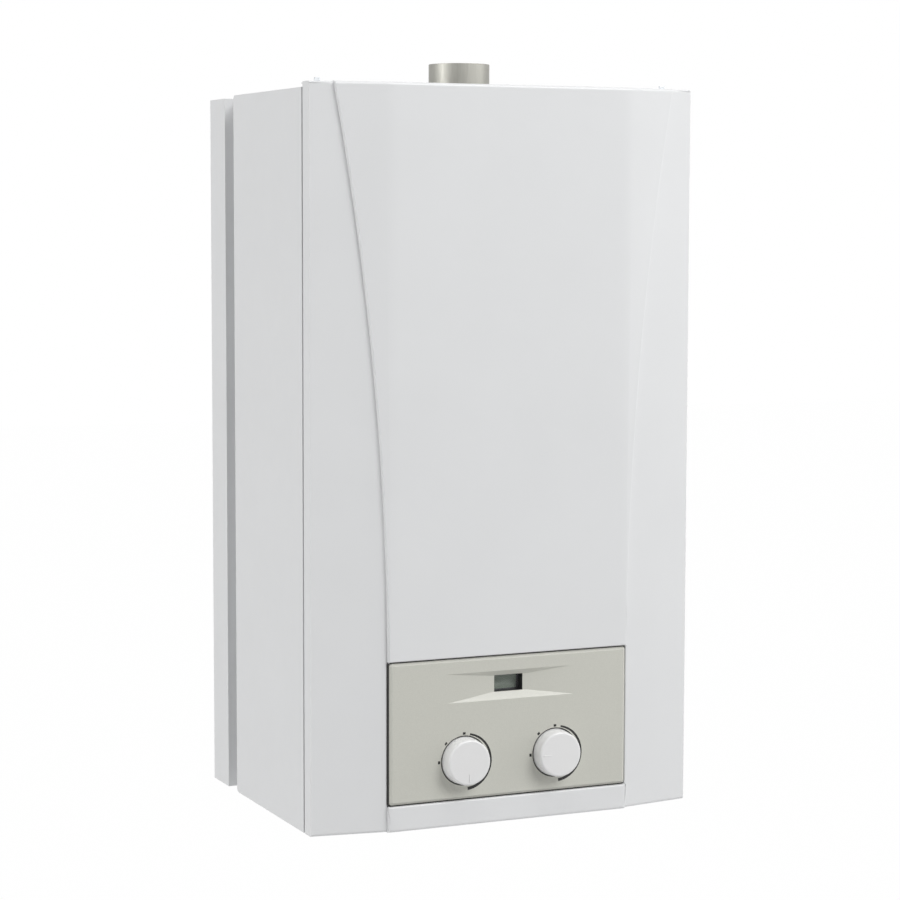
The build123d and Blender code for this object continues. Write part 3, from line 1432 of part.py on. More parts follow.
with BuildPart() as safety_valve_knob:
    with BuildSketch(front_plane(relief_front + fit, return_x, relief_height)):
        add(grip_outline(relief_knob_radius))
    extrude(amount=relief_knob_length)
    pin_back = front_plane(relief_front - relief_pin_length, return_x, relief_height)
    rod(pin_back, shaft_radius, relief_pin_length + fit)
safety_valve_knob.part.label = "safety_valve_knob"
export_step(safety_valve_knob.part, "parts/safety_valve_knob.step")

# Pressure gauge: a round case that faces down, its needle and its glass
with BuildPart() as pressure_gauge:
    dial_z = gauge_bottom + gauge_well
    well = level_plane(gauge_bottom, gauge_x, gauge_depth)
    boss(well, gauge_radius, gauge_length, flats=drum_flats)
    boss(well, gauge_radius - 2 * gauge_wall, gauge_well, mode=Mode.SUBTRACT, flats=drum_flats)
    pivot = level_plane(dial_z, gauge_x, gauge_depth)
    boss(pivot, axle_radius + shaft_fit, axle_length + hole_gap, mode=Mode.SUBTRACT)
pressure_gauge.part.label = "pressure_gauge"
export_step(pressure_gauge.part, "parts/pressure_gauge.step")

with BuildPart() as gauge_needle:
    needle_z = dial_z - 2 * needle_thickness
    with BuildSketch(level_plane(needle_z, gauge_x, gauge_depth)):
        RegularPolygon(2 * axle_radius, boss_flats)
        with Locations((-needle_length / 2, 0)):
            Rectangle(needle_length, needle_width)
    extrude(amount=needle_thickness)
    rod(level_plane(needle_z, gauge_x, gauge_depth), axle_radius, 2 * needle_thickness + axle_length)
gauge_needle.part.label = "gauge_needle"
export_step(gauge_needle.part, "parts/gauge_needle.step")

with BuildPart() as gauge_glass:
    glass_radius = gauge_radius - 2 * gauge_wall
    boss(well, glass_radius, window_thickness, flats=drum_flats)
gauge_glass.part.label = "gauge_glass"
export_step(gauge_glass.part, "parts/gauge_glass.step")

# The two pipes between the heat exchanger and the hydraulic groups
with BuildPart() as exchanger_flow_pipe:
    pipe(
        [
            (-(fire_half + stub_length), -stub_depth, stub_z),
            (-riser_half, -stub_depth, stub_z),
            (-riser_half, -stub_depth, flow_bend_high),
            (flow_x, -inlet_depth, flow_bend_low),
            (flow_x, -inlet_depth, inlet_top),
        ],
        riser_bend,
        pipe_radius,
    )
exchanger_flow_pipe.part.label = "exchanger_flow_pipe"
export_step(exchanger_flow_pipe.part, "parts/exchanger_flow_pipe.step")

with BuildPart() as exchanger_return_pipe:
    pipe(
        [
            (return_x, -pump_axis_depth, pump_port_high),
            (return_x, -pump_axis_depth, return_cross_height),
            (riser_half, -stub_depth, return_cross_height),
            (riser_half, -stub_depth, stub_z),
            (fire_half + stub_length, -stub_depth, stub_z),
        ],
        riser_bend,
        pipe_radius,
    )
exchanger_return_pipe.part.label = "exchanger_return_pipe"
export_step(exchanger_return_pipe.part, "parts/exchanger_return_pipe.step")

with BuildPart() as temperature_sensors:
    sensor_run = (stub_depth + pipe_radius, stub_depth + pipe_radius + sensor_size)
    sensor_z = (sensor_height, sensor_height + 2 * sensor_size)
    for side in (-1, 1):
        sensor_x = (side * riser_half - sensor_size / 2, side * riser_half + sensor_size / 2)
        slab(sensor_x, sensor_run, sensor_z)
    chamfer(edges().filter_by(Axis.Z), length=sheet)
temperature_sensors.part.label = "temperature_sensors"
export_step(temperature_sensors.part, "parts/temperature_sensors.step")


def recess_block(grown):
    """The display recess as a solid that narrows inwards, grown by a wall's thickness."""
    mouth = fascia_depth - grown
    floor = mouth - recess_depth
    mouth_half = recess_half + grown
    floor_half = display_width / 2 + display_margin + grown
    floor_rise = display_height / 2 + grown
    with BuildPart() as block:
        with BuildSketch(level_plane(0)):
            with BuildLine():
                Polyline(
                    (-mouth_half, -mouth),
                    (mouth_half, -mouth),
                    (floor_half, -floor),
                    (-floor_half, -floor),
                    close=True,
                )
            make_face()
        extrude(amount=casing_height)
        with BuildSketch(side_plane(-half_width)):
            with BuildLine():
                Polyline(
                    (-mouth, recess_bottom - grown),
                    (-mouth, recess_top + grown),
                    (-floor, display_centre + floor_rise),
                    (-floor, display_centre - floor_rise),
                    close=True,
                )
            make_face()
        extrude(amount=casing_width, mode=Mode.INTERSECT)
    return block.part


# Control fascia: a moulded panel with a bevelled edge, a wedge-shaped display recess, two
# wells for the knobs and a flange behind that closes the control box
knob_places = (-knob_spacing / 2, knob_spacing / 2)
with BuildPart() as control_fascia:
    fascia_height = fascia_top - fascia_bottom
    flange_front = box_front_depth + fascia_wall
    frame_wide = display_width + 2 * display_margin
    with BuildSketch(front_plane(flange_front, 0, opening_z)):
        RectangleRounded(2 * fascia_half, fascia_height, panel_corner_radius)
    extrude(amount=fascia_depth - flange_front)
    chamfer(faces().sort_by(Axis.Y)[0].edges(), length=fascia_chamfer)
    slab((-flange_half, flange_half), (box_front_depth, flange_front), (box_base, box_top))
    with BuildSketch(front_plane(box_front_depth, 0, opening_z)):
        Rectangle(2 * (fascia_half - fascia_wall), fascia_height - 2 * fascia_wall)
    extrude(amount=fascia_depth - fascia_wall - box_front_depth, mode=Mode.SUBTRACT)
    # The recess is a shallow funnel whose floor is the display's frame
    add(recess_block(fascia_wall))
    add(recess_block(0), mode=Mode.SUBTRACT)
    with BuildSketch(front_plane(screen_depth, 0, display_centre)):
        Rectangle(frame_wide + 2 * fascia_wall, display_height + 2 * fascia_wall)
    extrude(amount=window_tunnel)
    with BuildSketch(front_plane(screen_depth, 0, display_centre)):
        Rectangle(display_width, display_height)
    extrude(amount=window_tunnel + fascia_wall + recess_depth, mode=Mode.SUBTRACT)
    well_depth = fascia_depth - knob_sink - well_gap
    well_back = well_depth - fascia_wall
    well_radius = knob_radius + knob_ring_gap
    cup_depth = fascia_depth - fascia_wall - well_back
    for x in knob_places:
        cup = front_plane(well_back, x, knob_height)
        boss(cup, well_radius + fascia_wall, cup_depth, flats=drum_flats)
        well_floor = front_plane(well_depth, x, knob_height)
        rod(well_floor, well_radius, fascia_depth - well_depth, mode=Mode.SUBTRACT)
        boss(cup, stem_pin_radius + hole_gap, fascia_wall, mode=Mode.SUBTRACT)
    post_length = fascia_depth - fascia_wall - board_depth - board_thick
    for x in (-board_post_x, board_post_x):
        for z in (board_post_low, board_post_high):
            post = front_plane(board_depth + board_thick, x, z)
            boss(post, board_post_radius, post_length, flats=nut_flats)
control_fascia.part.label = "control_fascia"
export_step(control_fascia.part, "parts/control_fascia.step")

with BuildPart() as display_window:
    with BuildSketch(front_plane(screen_depth - window_thickness, 0, display_centre)):
        Rectangle(frame_wide, display_height + 2 * display_margin)
    extrude(amount=window_thickness)
display_window.part.label = "display_window"
export_step(display_window.part, "parts/display_window.step")

with BuildPart() as display_module:
    module_back = board_depth + board_thick
    with BuildSketch(front_plane(module_back, 0, display_centre)):
        Rectangle(frame_wide + module_margin, display_height + 2 * module_margin)
    extrude(amount=screen_depth - window_thickness - module_back)
display_module.part.label = "display_module"
export_step(display_module.part, "parts/display_module.step")

# Control box: a tray that pivots on two pins in the side panels' lugs, with two slotted
# feet for the casing's screws and a cable gland at the foot
with BuildPart() as control_box:
    slab((-box_half, box_half), (box_back_depth, box_front_depth), (box_base, box_top))
    slab(
        (-box_half + box_wall, box_half - box_wall),
        (box_back_depth + box_wall, box_front_depth),
        (box_base + box_wall, box_top - box_wall),
        mode=Mode.SUBTRACT,
    )
    boss(side_plane(-box_half - pivot_length, pivot_depth, pivot_height), pivot_radius, pivot_length)
    boss(side_plane(box_half, pivot_depth, pivot_height), pivot_radius, pivot_length)
    foot_front = screw_depth + foot_width / 2
    for side in (-1, 1):
        foot_x = side * screw_spacing / 2
        foot_span = (foot_x - foot_width / 2, foot_x + foot_width / 2)
        slot_half = screw_radius + hole_gap
        slab(foot_span, (foot_front - foot_width, foot_front), (sheet + fit, box_base))
        slot_span = (foot_x - slot_half, foot_x + slot_half)
        slot_z = (0, screw_length + hole_gap)
        slab(slot_span, (screw_depth - slot_half, foot_front), slot_z, mode=Mode.SUBTRACT)
    gland_place = level_plane(box_base - gland_length, gland_x, box_back_depth + 2 * gland_radius)
    boss(gland_place, gland_radius, gland_length)
    boss(gland_place, gland_bore, gland_length + box_wall, mode=Mode.SUBTRACT)
control_box.part.label = "control_box"
export_step(control_box.part, "parts/control_box.step")

# Circuit board with a rotary control behind each knob
with BuildPart() as control_board:
    slab((-board_half, board_half), (board_depth, board_depth + board_thick), (board_low, board_high))
    for x in knob_places:
        with BuildSketch(front_plane(board_depth + board_thick, x, knob_height)):
            Rectangle(pot_size, pot_size)
        extrude(amount=pot_depth)
        bore = front_plane(board_depth + board_thick, x, knob_height)
        boss(bore, stem_pin_radius + shaft_fit, pot_depth, mode=Mode.SUBTRACT)
control_board.part.label = "control_board"
export_step(control_board.part, "parts/control_board.step")


def knob(x, pointer_angle):
    """A control knob: a tapered grip with a bevelled rim, a pointer groove and a stem."""
    base_depth = fascia_depth - knob_sink
    face_depth = fascia_depth + knob_projection
    rim_radius = knob_face_radius + knob_round
    with BuildPart() as grip:
        base = front_plane(base_depth, x, knob_height)
        boss(base, knob_radius, face_depth - base_depth, flats=knob_flats)
        face = faces().sort_by(Axis.Y)[0]
        chamfer(face.edges(), knob_radius - rim_radius, face_depth - fascia_depth, reference=face)
        chamfer(faces().sort_by(Axis.Y)[0].edges(), length=knob_round)
        stem_end = board_depth + board_thick + hole_gap
        rod(front_plane(stem_end, x, knob_height), stem_pin_radius, base_depth - stem_end)
        with BuildSketch(front_plane(face_depth - pointer_depth, x, knob_height)):
            pointer_middle = knob_face_radius - pointer_length / 2 - sheet
            with PolarLocations(pointer_middle, 1, start_angle=pointer_angle):
                Rectangle(pointer_length, pointer_width)
        extrude(amount=pointer_depth, mode=Mode.SUBTRACT)
    return grip.part


with BuildPart() as heating_knob:
    add(knob(knob_places[0], pointer_down))
heating_knob.part.label = "heating_knob"
export_step(heating_knob.part, "parts/heating_knob.step")

with BuildPart() as water_knob:
    add(knob(knob_places[1], pointer_left))
water_knob.part.label = "water_knob"
export_step(water_knob.part, "parts/water_knob.step")
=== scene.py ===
import json
import math

import bmesh
import bpy
from mathutils import Matrix, Vector


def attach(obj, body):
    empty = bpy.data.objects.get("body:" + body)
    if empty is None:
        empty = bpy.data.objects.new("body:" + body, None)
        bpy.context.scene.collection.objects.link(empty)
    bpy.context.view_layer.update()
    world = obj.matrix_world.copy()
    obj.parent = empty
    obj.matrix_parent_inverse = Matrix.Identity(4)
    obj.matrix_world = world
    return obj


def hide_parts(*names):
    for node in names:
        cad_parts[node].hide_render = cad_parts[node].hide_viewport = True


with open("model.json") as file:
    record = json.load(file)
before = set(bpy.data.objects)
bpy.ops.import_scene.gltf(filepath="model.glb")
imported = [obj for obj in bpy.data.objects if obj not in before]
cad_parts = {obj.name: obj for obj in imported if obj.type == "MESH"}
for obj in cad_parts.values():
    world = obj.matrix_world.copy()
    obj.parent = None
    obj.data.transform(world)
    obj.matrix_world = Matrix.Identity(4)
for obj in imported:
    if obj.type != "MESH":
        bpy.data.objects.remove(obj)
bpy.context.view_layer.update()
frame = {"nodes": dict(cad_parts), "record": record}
record = frame["record"]
bodies = record["behaviour"]["bodies"]
node_body = {node: body for body, nodes in bodies.items() for node in nodes}
node_slot = {entry["node"]: entry["material_slot"] for entry in record["subparts"]}

MM = 0.001

# CAD nodes by the way they are shown
shaped_here = {"front_casing", "control_fascia", "heating_knob", "water_knob", "display_window"}
side_panels = {"left_side_panel", "right_side_panel"}
threaded = {"heating_tails", "water_tails", "gas_supply_pipe"}

# Camera: where the photograph was taken from
camera_place = Vector((-1.04183, -2.48264, 0.58346))
camera_yaw = 0.4204
camera_pitch = 0.09175
camera_roll = 0.0021
camera_lens = 101.76
camera_sensor = 36.0

# Joining, smoothing and choosing of the CAD faces and edges
weld_gap = 0.01 * MM
flat_turn = math.radians(0.6)
smooth_angle = math.radians(32)
crisp_angle = math.radians(14)
sharp_turn = math.radians(40)
panel_turn = math.radians(20)
side_facing = 0.8
front_facing = 0.5

# Casing: where its edges lie, and the rounds of the step, the corners and the opening's lip
joggle_near = 120 * MM
joggle_far = 182 * MM
joggle_depth = 279 * MM
joggle_round = 0.8 * MM
level_rise = 0.1 * MM
crease_bands = (118 * MM, 130 * MM)
corner_side = 199.5 * MM
corner_rise = 50 * MM
corner_round = 2.6 * MM
opening_half = 127 * MM
opening_low = 24.5 * MM
opening_high = 163.5 * MM
opening_step = 4 * MM
opening_round = 1.4 * MM
opening_reach = 2.5 * MM

# Rounds of the other pieces' edges
edge_round = 0.4 * MM
side_panel_round = 1.2 * MM
control_panel_round = 0.3 * MM

# Control panel and knobs
fascia_face = 295.5 * MM
knob_x = 48.5 * MM
knob_z = 63.5 * MM
knob_radius = 23.0 * MM
knob_rim_radius = 21.8 * MM
knob_base = 289.5 * MM
knob_face = 308.9 * MM
knob_rim_round = 2.0 * MM
knob_rim_steps = 8
knob_stem_radius = 3.0 * MM
knob_stem_end = 266.6 * MM
round_steps = 96
pointer_length = 8.0 * MM
pointer_width = 1.3 * MM
pointer_rise = 0.55 * MM
pointer_sink = 0.2 * MM
pointer_taper = 0.35
pointer_round = 0.2 * MM
pointer_margin = 1.4 * MM
heating_pointer_turn = math.radians(90)
water_pointer_turn = math.radians(180)

# Black strips in the gap round the panel: painted shade that stands for the shadow deep in the
# gap
shade_strip_width = 1.25 * MM
shade_strip_front = 293.2 * MM
low_shade_strip_front = 292.0 * MM
shade_strip_back = 288.0 * MM

# Printed scales round the knobs, and a black ring of painted shade close round each knob
print_lift = 0.03 * MM
print_thickness = 0.03 * MM
arc_radius = 26.6 * MM
arc_shift = (1.4 * MM, -1.15 * MM)
arc_start_width = 1.9 * MM
arc_end_width = 3.0 * MM
arc_start = math.radians(10)
arc_end = math.radians(175)
arc_steps = 60
# The ring round each knob is painted shade for the shadowed gap round the knob
shade_ring_radius = 23.95 * MM
shade_ring_width = 0.65 * MM
mark_radius = 26.3 * MM
mark_length = 2.3 * MM
mark_width = 2.9 * MM
heating_mark_turns = (0, math.radians(-47), math.radians(-90))
water_mark_turns = (0, math.radians(-42), math.radians(-92))

# Display
window_half = 15.0 * MM
window_low = 127.0 * MM
window_high = 143.0 * MM
window_front = 291.2 * MM
pane_front = 283.0 * MM
pane_back = 281.5 * MM
pane_half = 17.0 * MM
pane_low = 125.0 * MM
pane_high = 145.0 * MM
liner_wall = 0.25 * MM
pane_thickness = 0.9 * MM
field_half_left = 15.5 * MM
field_half_right = 12.6 * MM
field_low = 128.0 * MM
field_high = 145.0 * MM
field_thickness = 0.2 * MM

# Pressure gauge dial; its numbers are spread in degrees
gauge_x = -50 * MM
gauge_y = -165 * MM
dial_z = 17.9 * MM
dial_radius = 13.0 * MM
dial_start = -135
dial_sweep = 270
dial_numbers = "01234"
numeral_height = 3.4 * MM
numeral_thickness = 0.03 * MM

# Threads of the pipe tails; a wave texture at scale 1 repeats after wave_repeat metres
thread_high = -4 * MM
thread_pitch = 1.8 * MM
thread_depth = 0.8 * MM
wave_repeat = math.pi / 10

# Stage and light
floor_drop = 0.9
floor_size = 30.0
floor_share = 0.995
floor_pale = (0.8, 0.8, 0.8, 1.0)
plain_white = (1.0, 1.0, 1.0, 1.0)
surround_level = 0.20
aim = Vector((0.0, -0.2, 0.38))
softboxes = (
    # name, bearing and height in degrees, distance and side in metres, power in watts
    ("right_softbox", 65, 8, 3.0, 1.6, 16.0),
    ("upper_softbox", 30, 40, 4.5, 2.4, 143.0),
    ("top_softbox", 0, 84, 4.0, 2.0, 42.0),
    ("left_softbox", -88, 8, 3.0, 1.6, 41.5),
)

# Colours as light, red green and blue
enamel_white = (0.716, 0.723, 0.730)
fascia_grey = (0.550, 0.550, 0.498)
knob_white = (0.755, 0.755, 0.755)
# Black of the printed scales, also of the ring round each knob, which is painted shade for the
# gap round the knob
print_and_shade_black = (0.006, 0.006, 0.006)
# Black of the strips in the panel's gap: painted shade for the shadow there
gap_shade_black = (0.020, 0.019, 0.018)
crystal_grey = (0.165, 0.218, 0.158)
zinc_grey = (0.56, 0.58, 0.60)
flue_grey = (0.340, 0.335, 0.305)
steel_grey = (0.52, 0.52, 0.52)
brass_yellow = (0.62, 0.45, 0.20)
copper_red = (0.72, 0.36, 0.22)
vessel_red = (0.42, 0.02, 0.015)
aluminium_grey = (0.52, 0.53, 0.54)
iron_black = (0.035, 0.037, 0.040)
plastic_black = (0.018, 0.018, 0.020)
box_grey = (0.060, 0.062, 0.066)
fibre_cream = (0.78, 0.74, 0.64)
hose_red = (0.30, 0.025, 0.018)
tap_blue = (0.020, 0.035, 0.110)
needle_red = (0.55, 0.03, 0.02)
board_green = (0.012, 0.085, 0.035)
dial_white = (0.75, 0.75, 0.72)
pane_clear = (0.92, 0.95, 0.95)


def place_camera():
    """The camera at the photograph's place and angle."""
    data = bpy.data.cameras.new("camera")
    data.lens = camera_lens
    data.sensor_width = camera_sensor
    camera = bpy.data.objects.new("camera", data)
    heading = Matrix.Rotation(-camera_yaw, 4, "Z")
    turn = heading @ Matrix.Rotation(math.pi / 2 - camera_pitch, 4, "X")
    roll = Matrix.Rotation(camera_roll, 4, "Z")
    camera.matrix_world = Matrix.Translation(camera_place) @ turn @ roll
    bpy.context.scene.collection.objects.link(camera)
    bpy.context.scene.camera = camera


# Finishes


class Finish:
    """A material with its shader and a few nodes that the finishes below share."""

    def __init__(self, name, colour, roughness, metallic=0.0):
        self.material = bpy.data.materials.new(name)
        self.material.use_nodes = True
        self.tree = self.material.node_tree
        self.shader = self.tree.nodes["Principled BSDF"]
        self.colour = colour
        self.roughness = roughness
        self.shader.inputs["Metallic"].default_value = metallic
        self.shader.inputs["Base Color"].default_value = (*colour, 1.0)
        self.shader.inputs["Roughness"].default_value = roughness
        self.place = self.tree.nodes.new("ShaderNodeTexCoord").outputs["Object"]

    def stretched(self, scale):
        """The object's coordinates, squeezed or drawn out along each axis."""
        mapping = self.tree.nodes.new("ShaderNodeMapping")
        mapping.inputs["Scale"].default_value = scale
        self.tree.links.new(self.place, mapping.inputs["Vector"])
        return mapping.outputs["Vector"]

    def noise(self, size, detail=3.0, place=None):
        """Soft noise whose features are about that size in metres."""
        noise = self.tree.nodes.new("ShaderNodeTexNoise")
        noise.inputs["Scale"].default_value = 1.0 / size
        noise.inputs["Detail"].default_value = detail
        self.tree.links.new(place or self.place, noise.inputs["Vector"])
        return noise.outputs["Fac"]

    def cells(self, size):
        """Cell pattern whose cells are about that size in metres."""
        cells = self.tree.nodes.new("ShaderNodeTexVoronoi")
        cells.inputs["Scale"].default_value = 1.0 / size
        self.tree.links.new(self.place, cells.inputs["Vector"])
        return cells

    def spread(self, value, low, high, start=0.3, end=0.7):
        """A value carried from one range to another."""
        remap = self.tree.nodes.new("ShaderNodeMapRange")
        remap.inputs["From Min"].default_value = start
        remap.inputs["From Max"].default_value = end
        remap.inputs["To Min"].default_value = low
        remap.inputs["To Max"].default_value = high
        self.tree.links.new(value, remap.inputs["Value"])
        return remap.outputs["Result"]

    def product(self, first, second):
        """Two values multiplied."""
        times = self.tree.nodes.new("ShaderNodeMath")
        times.operation = "MULTIPLY"
        self.tree.links.new(first, times.inputs[0])
        self.tree.links.new(second, times.inputs[1])
        return times.outputs["Value"]

    def vary_roughness(self, value, amount):
        """Roughness that wanders by an amount round its own value."""
        result = self.spread(value, self.roughness - amount, self.roughness + amount)
        self.tree.links.new(result, self.shader.inputs["Roughness"])

    def vary_colour(self, value, amount):
        """Colour that gets lighter and darker by a share round its own value."""
        mix = self.tree.nodes.new("ShaderNodeMix")
        mix.data_type = "RGBA"
        darker = [channel * (1.0 - amount) for channel in self.colour]
        lighter = [min(channel * (1.0 + amount), 1.0) for channel in self.colour]
        mix.inputs["A"].default_value = (*darker, 1.0)
        mix.inputs["B"].default_value = (*lighter, 1.0)
        self.tree.links.new(self.spread(value, 0.0, 1.0), mix.inputs["Factor"])
        self.tree.links.new(mix.outputs["Result"], self.shader.inputs["Base Color"])

    def relief(self, height, depth, strength=1.0):
        """A bump of that depth in metres."""
        bump = self.tree.nodes.new("ShaderNodeBump")
        bump.inputs["Strength"].default_value = strength
        bump.inputs["Distance"].default_value = depth
        self.tree.links.new(height, bump.inputs["Height"])
        self.tree.links.new(bump.outputs["Normal"], self.shader.inputs["Normal"])


def powder_coat(name, colour, roughness=0.40):
    """Smooth powder coat: a faint orange peel and almost no change of colour."""
    finish = Finish(name, colour, roughness)
    finish.vary_colour(finish.noise(90 * MM), 0.010)
    finish.vary_roughness(finish.noise(14 * MM), 0.04)
    finish.relief(finish.noise(1.6 * MM, 2.0), 0.02 * MM, 0.3)
    finish.shader.inputs["Coat Weight"].default_value = 0.12
    finish.shader.inputs["Coat Roughness"].default_value = 0.25
    return finish.material


def gloss_enamel(name, colour):
    """Stoved gloss enamel with slight runs."""
    finish = Finish(name, colour, 0.24)
    finish.vary_colour(finish.noise(60 * MM), 0.06)
    finish.vary_roughness(finish.noise(20 * MM), 0.06)
    finish.relief(finish.noise(4 * MM, 1.0), 0.05 * MM, 0.4)
    finish.shader.inputs["Coat Weight"].default_value = 0.4
    finish.shader.inputs["Coat Roughness"].default_value = 0.1
    return finish.material


def galvanised(name, colour):
    """Zinc-coated sheet with a faint spangle."""
    finish = Finish(name, colour, 0.42, 0.85)
    spangle = finish.cells(9 * MM)
    finish.vary_colour(spangle.outputs["Distance"], 0.03)
    finish.vary_roughness(spangle.outputs["Distance"], 0.04)
    finish.relief(finish.noise(2.5 * MM, 2.0), 0.02 * MM, 0.3)
    return finish.material


def brushed(name, colour, metallic=1.0, roughness=0.34, drawn=(0.03, 1.0, 1.0)):
    """Rolled or brushed metal with fine lines along one axis."""
    finish = Finish(name, colour, roughness, metallic)
    lines = finish.noise(1.0 * MM, 2.0, finish.stretched(drawn))
    finish.vary_colour(lines, 0.06)
    finish.vary_roughness(lines, 0.07)
    finish.relief(lines, 0.01 * MM, 0.4)
    return finish.material


def drawn_tube(name, colour):
    """Drawn tube, a little tarnished in patches."""
    finish = Finish(name, colour, 0.30, 1.0)
    finish.vary_colour(finish.noise(18 * MM, 5.0), 0.14)
    finish.vary_roughness(finish.noise(9 * MM, 4.0), 0.10)
    finish.relief(finish.noise(1.2 * MM, 2.0), 0.01 * MM, 0.3)
    return finish.material


def cast_metal(name, colour, roughness=0.5, metallic=0.9):
    """A casting with a fine sandy skin."""
    finish = Finish(name, colour, roughness, metallic)
    finish.vary_colour(finish.noise(12 * MM, 5.0), 0.10)
    finish.vary_roughness(finish.noise(5 * MM, 4.0), 0.08)
    finish.relief(finish.noise(0.9 * MM, 4.0), 0.06 * MM, 0.6)
    return finish.material


def threaded_brass(name, colour):
    """Turned brass, with a thread's ridges on the lower end of each tail."""
    finish = Finish(name, colour, 0.30, 1.0)
    finish.vary_colour(finish.noise(9 * MM, 4.0), 0.08)
    finish.vary_roughness(finish.noise(4 * MM, 3.0), 0.07)
    wave = finish.tree.nodes.new("ShaderNodeTexWave")
    wave.bands_direction = "Z"
    wave.wave_profile = "TRI"
    wave.inputs["Scale"].default_value = wave_repeat / thread_pitch
    finish.tree.links.new(finish.place, wave.inputs["Vector"])
    parts = finish.tree.nodes.new("ShaderNodeSeparateXYZ")
    finish.tree.links.new(finish.place, parts.inputs["Vector"])
    below_nut = finish.spread(parts.outputs["Z"], 1.0, 0.0, thread_high - MM, thread_high)
    finish.relief(finish.product(wave.outputs["Fac"], below_nut), thread_depth)
    return finish.material


def moulded(name, colour, roughness=0.5, grain=0.5 * MM, depth=0.03 * MM):
    """Moulded plastic with a fine spark-eroded grain."""
    finish = Finish(name, colour, roughness)
    finish.vary_colour(finish.noise(40 * MM), 0.02)
    finish.vary_roughness(finish.noise(3 * MM, 4.0), 0.05)
    finish.relief(finish.noise(grain, 3.0), depth, 0.5)
    return finish.material


def grained_panel(name, colour):
    """The panel's satin plastic: a fine grain that shows as a soft mottle."""
    finish = Finish(name, colour, 0.42)
    finish.vary_colour(finish.noise(0.9 * MM, 4.0), 0.035)
    finish.vary_roughness(finish.noise(3 * MM, 4.0), 0.04)
    finish.relief(finish.noise(0.45 * MM, 3.0), 0.012 * MM, 0.4)
    return finish.material


def smooth_moulding(name, colour):
    """Polished moulded plastic."""
    finish = Finish(name, colour, 0.34)
    finish.vary_colour(finish.noise(60 * MM), 0.006)
    finish.vary_roughness(finish.noise(20 * MM, 2.0), 0.02)
    finish.relief(finish.noise(6.0 * MM, 1.0), 0.008 * MM, 0.15)
    return finish.material


def fibre_board(name, colour):
    """Pressed ceramic fibre."""
    finish = Finish(name, colour, 0.95)
    finish.vary_colour(finish.noise(6 * MM, 6.0), 0.08)
    finish.vary_roughness(finish.noise(4 * MM), 0.03)
    finish.relief(finish.noise(1.2 * MM, 6.0), 0.25 * MM, 0.7)
    return finish.material


def soft_rubber(name, colour):
    """Soft silicone with a dull skin."""
    finish = Finish(name, colour, 0.6)
    finish.vary_colour(finish.noise(10 * MM), 0.05)
    finish.vary_roughness(finish.noise(3 * MM), 0.06)
    finish.relief(finish.noise(1.0 * MM), 0.02 * MM, 0.3)
    return finish.material


def clear_pane(name, colour):
    """Thin clear glass or window plastic with a trace of haze."""
    finish = Finish(name, colour, 0.08)
    finish.vary_roughness(finish.noise(8 * MM), 0.03)
    finish.shader.inputs["Alpha"].default_value = 0.08
    return finish.material


def liquid_crystal(name, colour):
    """An unlit liquid-crystal field: grey-green, cloudy, with a fine cell grid."""
    finish = Finish(name, colour, 0.30)
    finish.vary_colour(finish.noise(14 * MM, 1.0), 0.10)
    finish.vary_roughness(finish.noise(5 * MM), 0.03)
    grid = finish.cells(0.6 * MM)
    grid.distance = "CHEBYCHEV"
    finish.relief(grid.outputs["Distance"], 0.01 * MM, 0.2)
    return finish.material


def printed_ink(name, colour):
    """Screen-printed ink."""
    finish = Finish(name, colour, 0.45)
    finish.vary_colour(finish.noise(2 * MM), 0.15)
    finish.vary_roughness(finish.noise(1 * MM), 0.05)
    return finish.material


slot_material = {
    "white_enamel": powder_coat("white_powder_coat", enamel_white),
    "galvanised_steel": galvanised("galvanised_sheet", zinc_grey),
    "flue_steel": brushed("flue_steel", flue_grey, 0.9, 0.48, (1.0, 1.0, 0.05)),
    "zinc_fasteners": brushed("zinc_plated_screws", zinc_grey),
    "brass_fittings": cast_metal("cast_brass", brass_yellow, 0.38, 1.0),
    "copper_pipe": drawn_tube("drawn_copper", copper_red),
    "red_enamel": gloss_enamel("red_enamel", vessel_red),
    "cast_aluminium": cast_metal("die_cast_aluminium", aluminium_grey, 0.45),
    "cast_iron": cast_metal("coated_cast_iron", iron_black, 0.55, 0.3),
    "stainless_steel": brushed("stainless_steel", steel_grey),
    "motor_plastic": moulded("black_housing_plastic", plastic_black),
    "ceramic": fibre_board("ceramic_fibre", fibre_cream),
    "silicone_hose": soft_rubber("silicone_hose", hose_red),
    "fascia_plastic": grained_panel("warm_grey_panel", fascia_grey),
    "box_plastic": moulded("dark_grey_box", box_grey),
    "knob_plastic": smooth_moulding("white_knob", knob_white),
    "tap_plastic": moulded("blue_tap_plastic", tap_blue),
    "gauge_plastic": moulded("black_gauge_plastic", plastic_black),
    "needle_plastic": smooth_moulding("red_needle", needle_red),
    "clear_glass": clear_pane("clear_pane", pane_clear),
    "circuit_board": moulded("circuit_board", board_green, 0.4, 3 * MM, 0.05 * MM),
}
tail_brass = threaded_brass("threaded_brass", brass_yellow)
# Finish of the black strips in the panel's gap: painted shade for the shadow in the gap
gap_shade_finish = soft_rubber("painted_gap_shade", gap_shade_black)
# Ink of the printed scales, also used for the ring of painted shade round each knob
print_and_shade_ink = printed_ink("black_print_and_painted_shade", print_and_shade_black)
dial_print = printed_ink("white_print", dial_white)
crystal = liquid_crystal("liquid_crystal", crystal_grey)


# Shapes


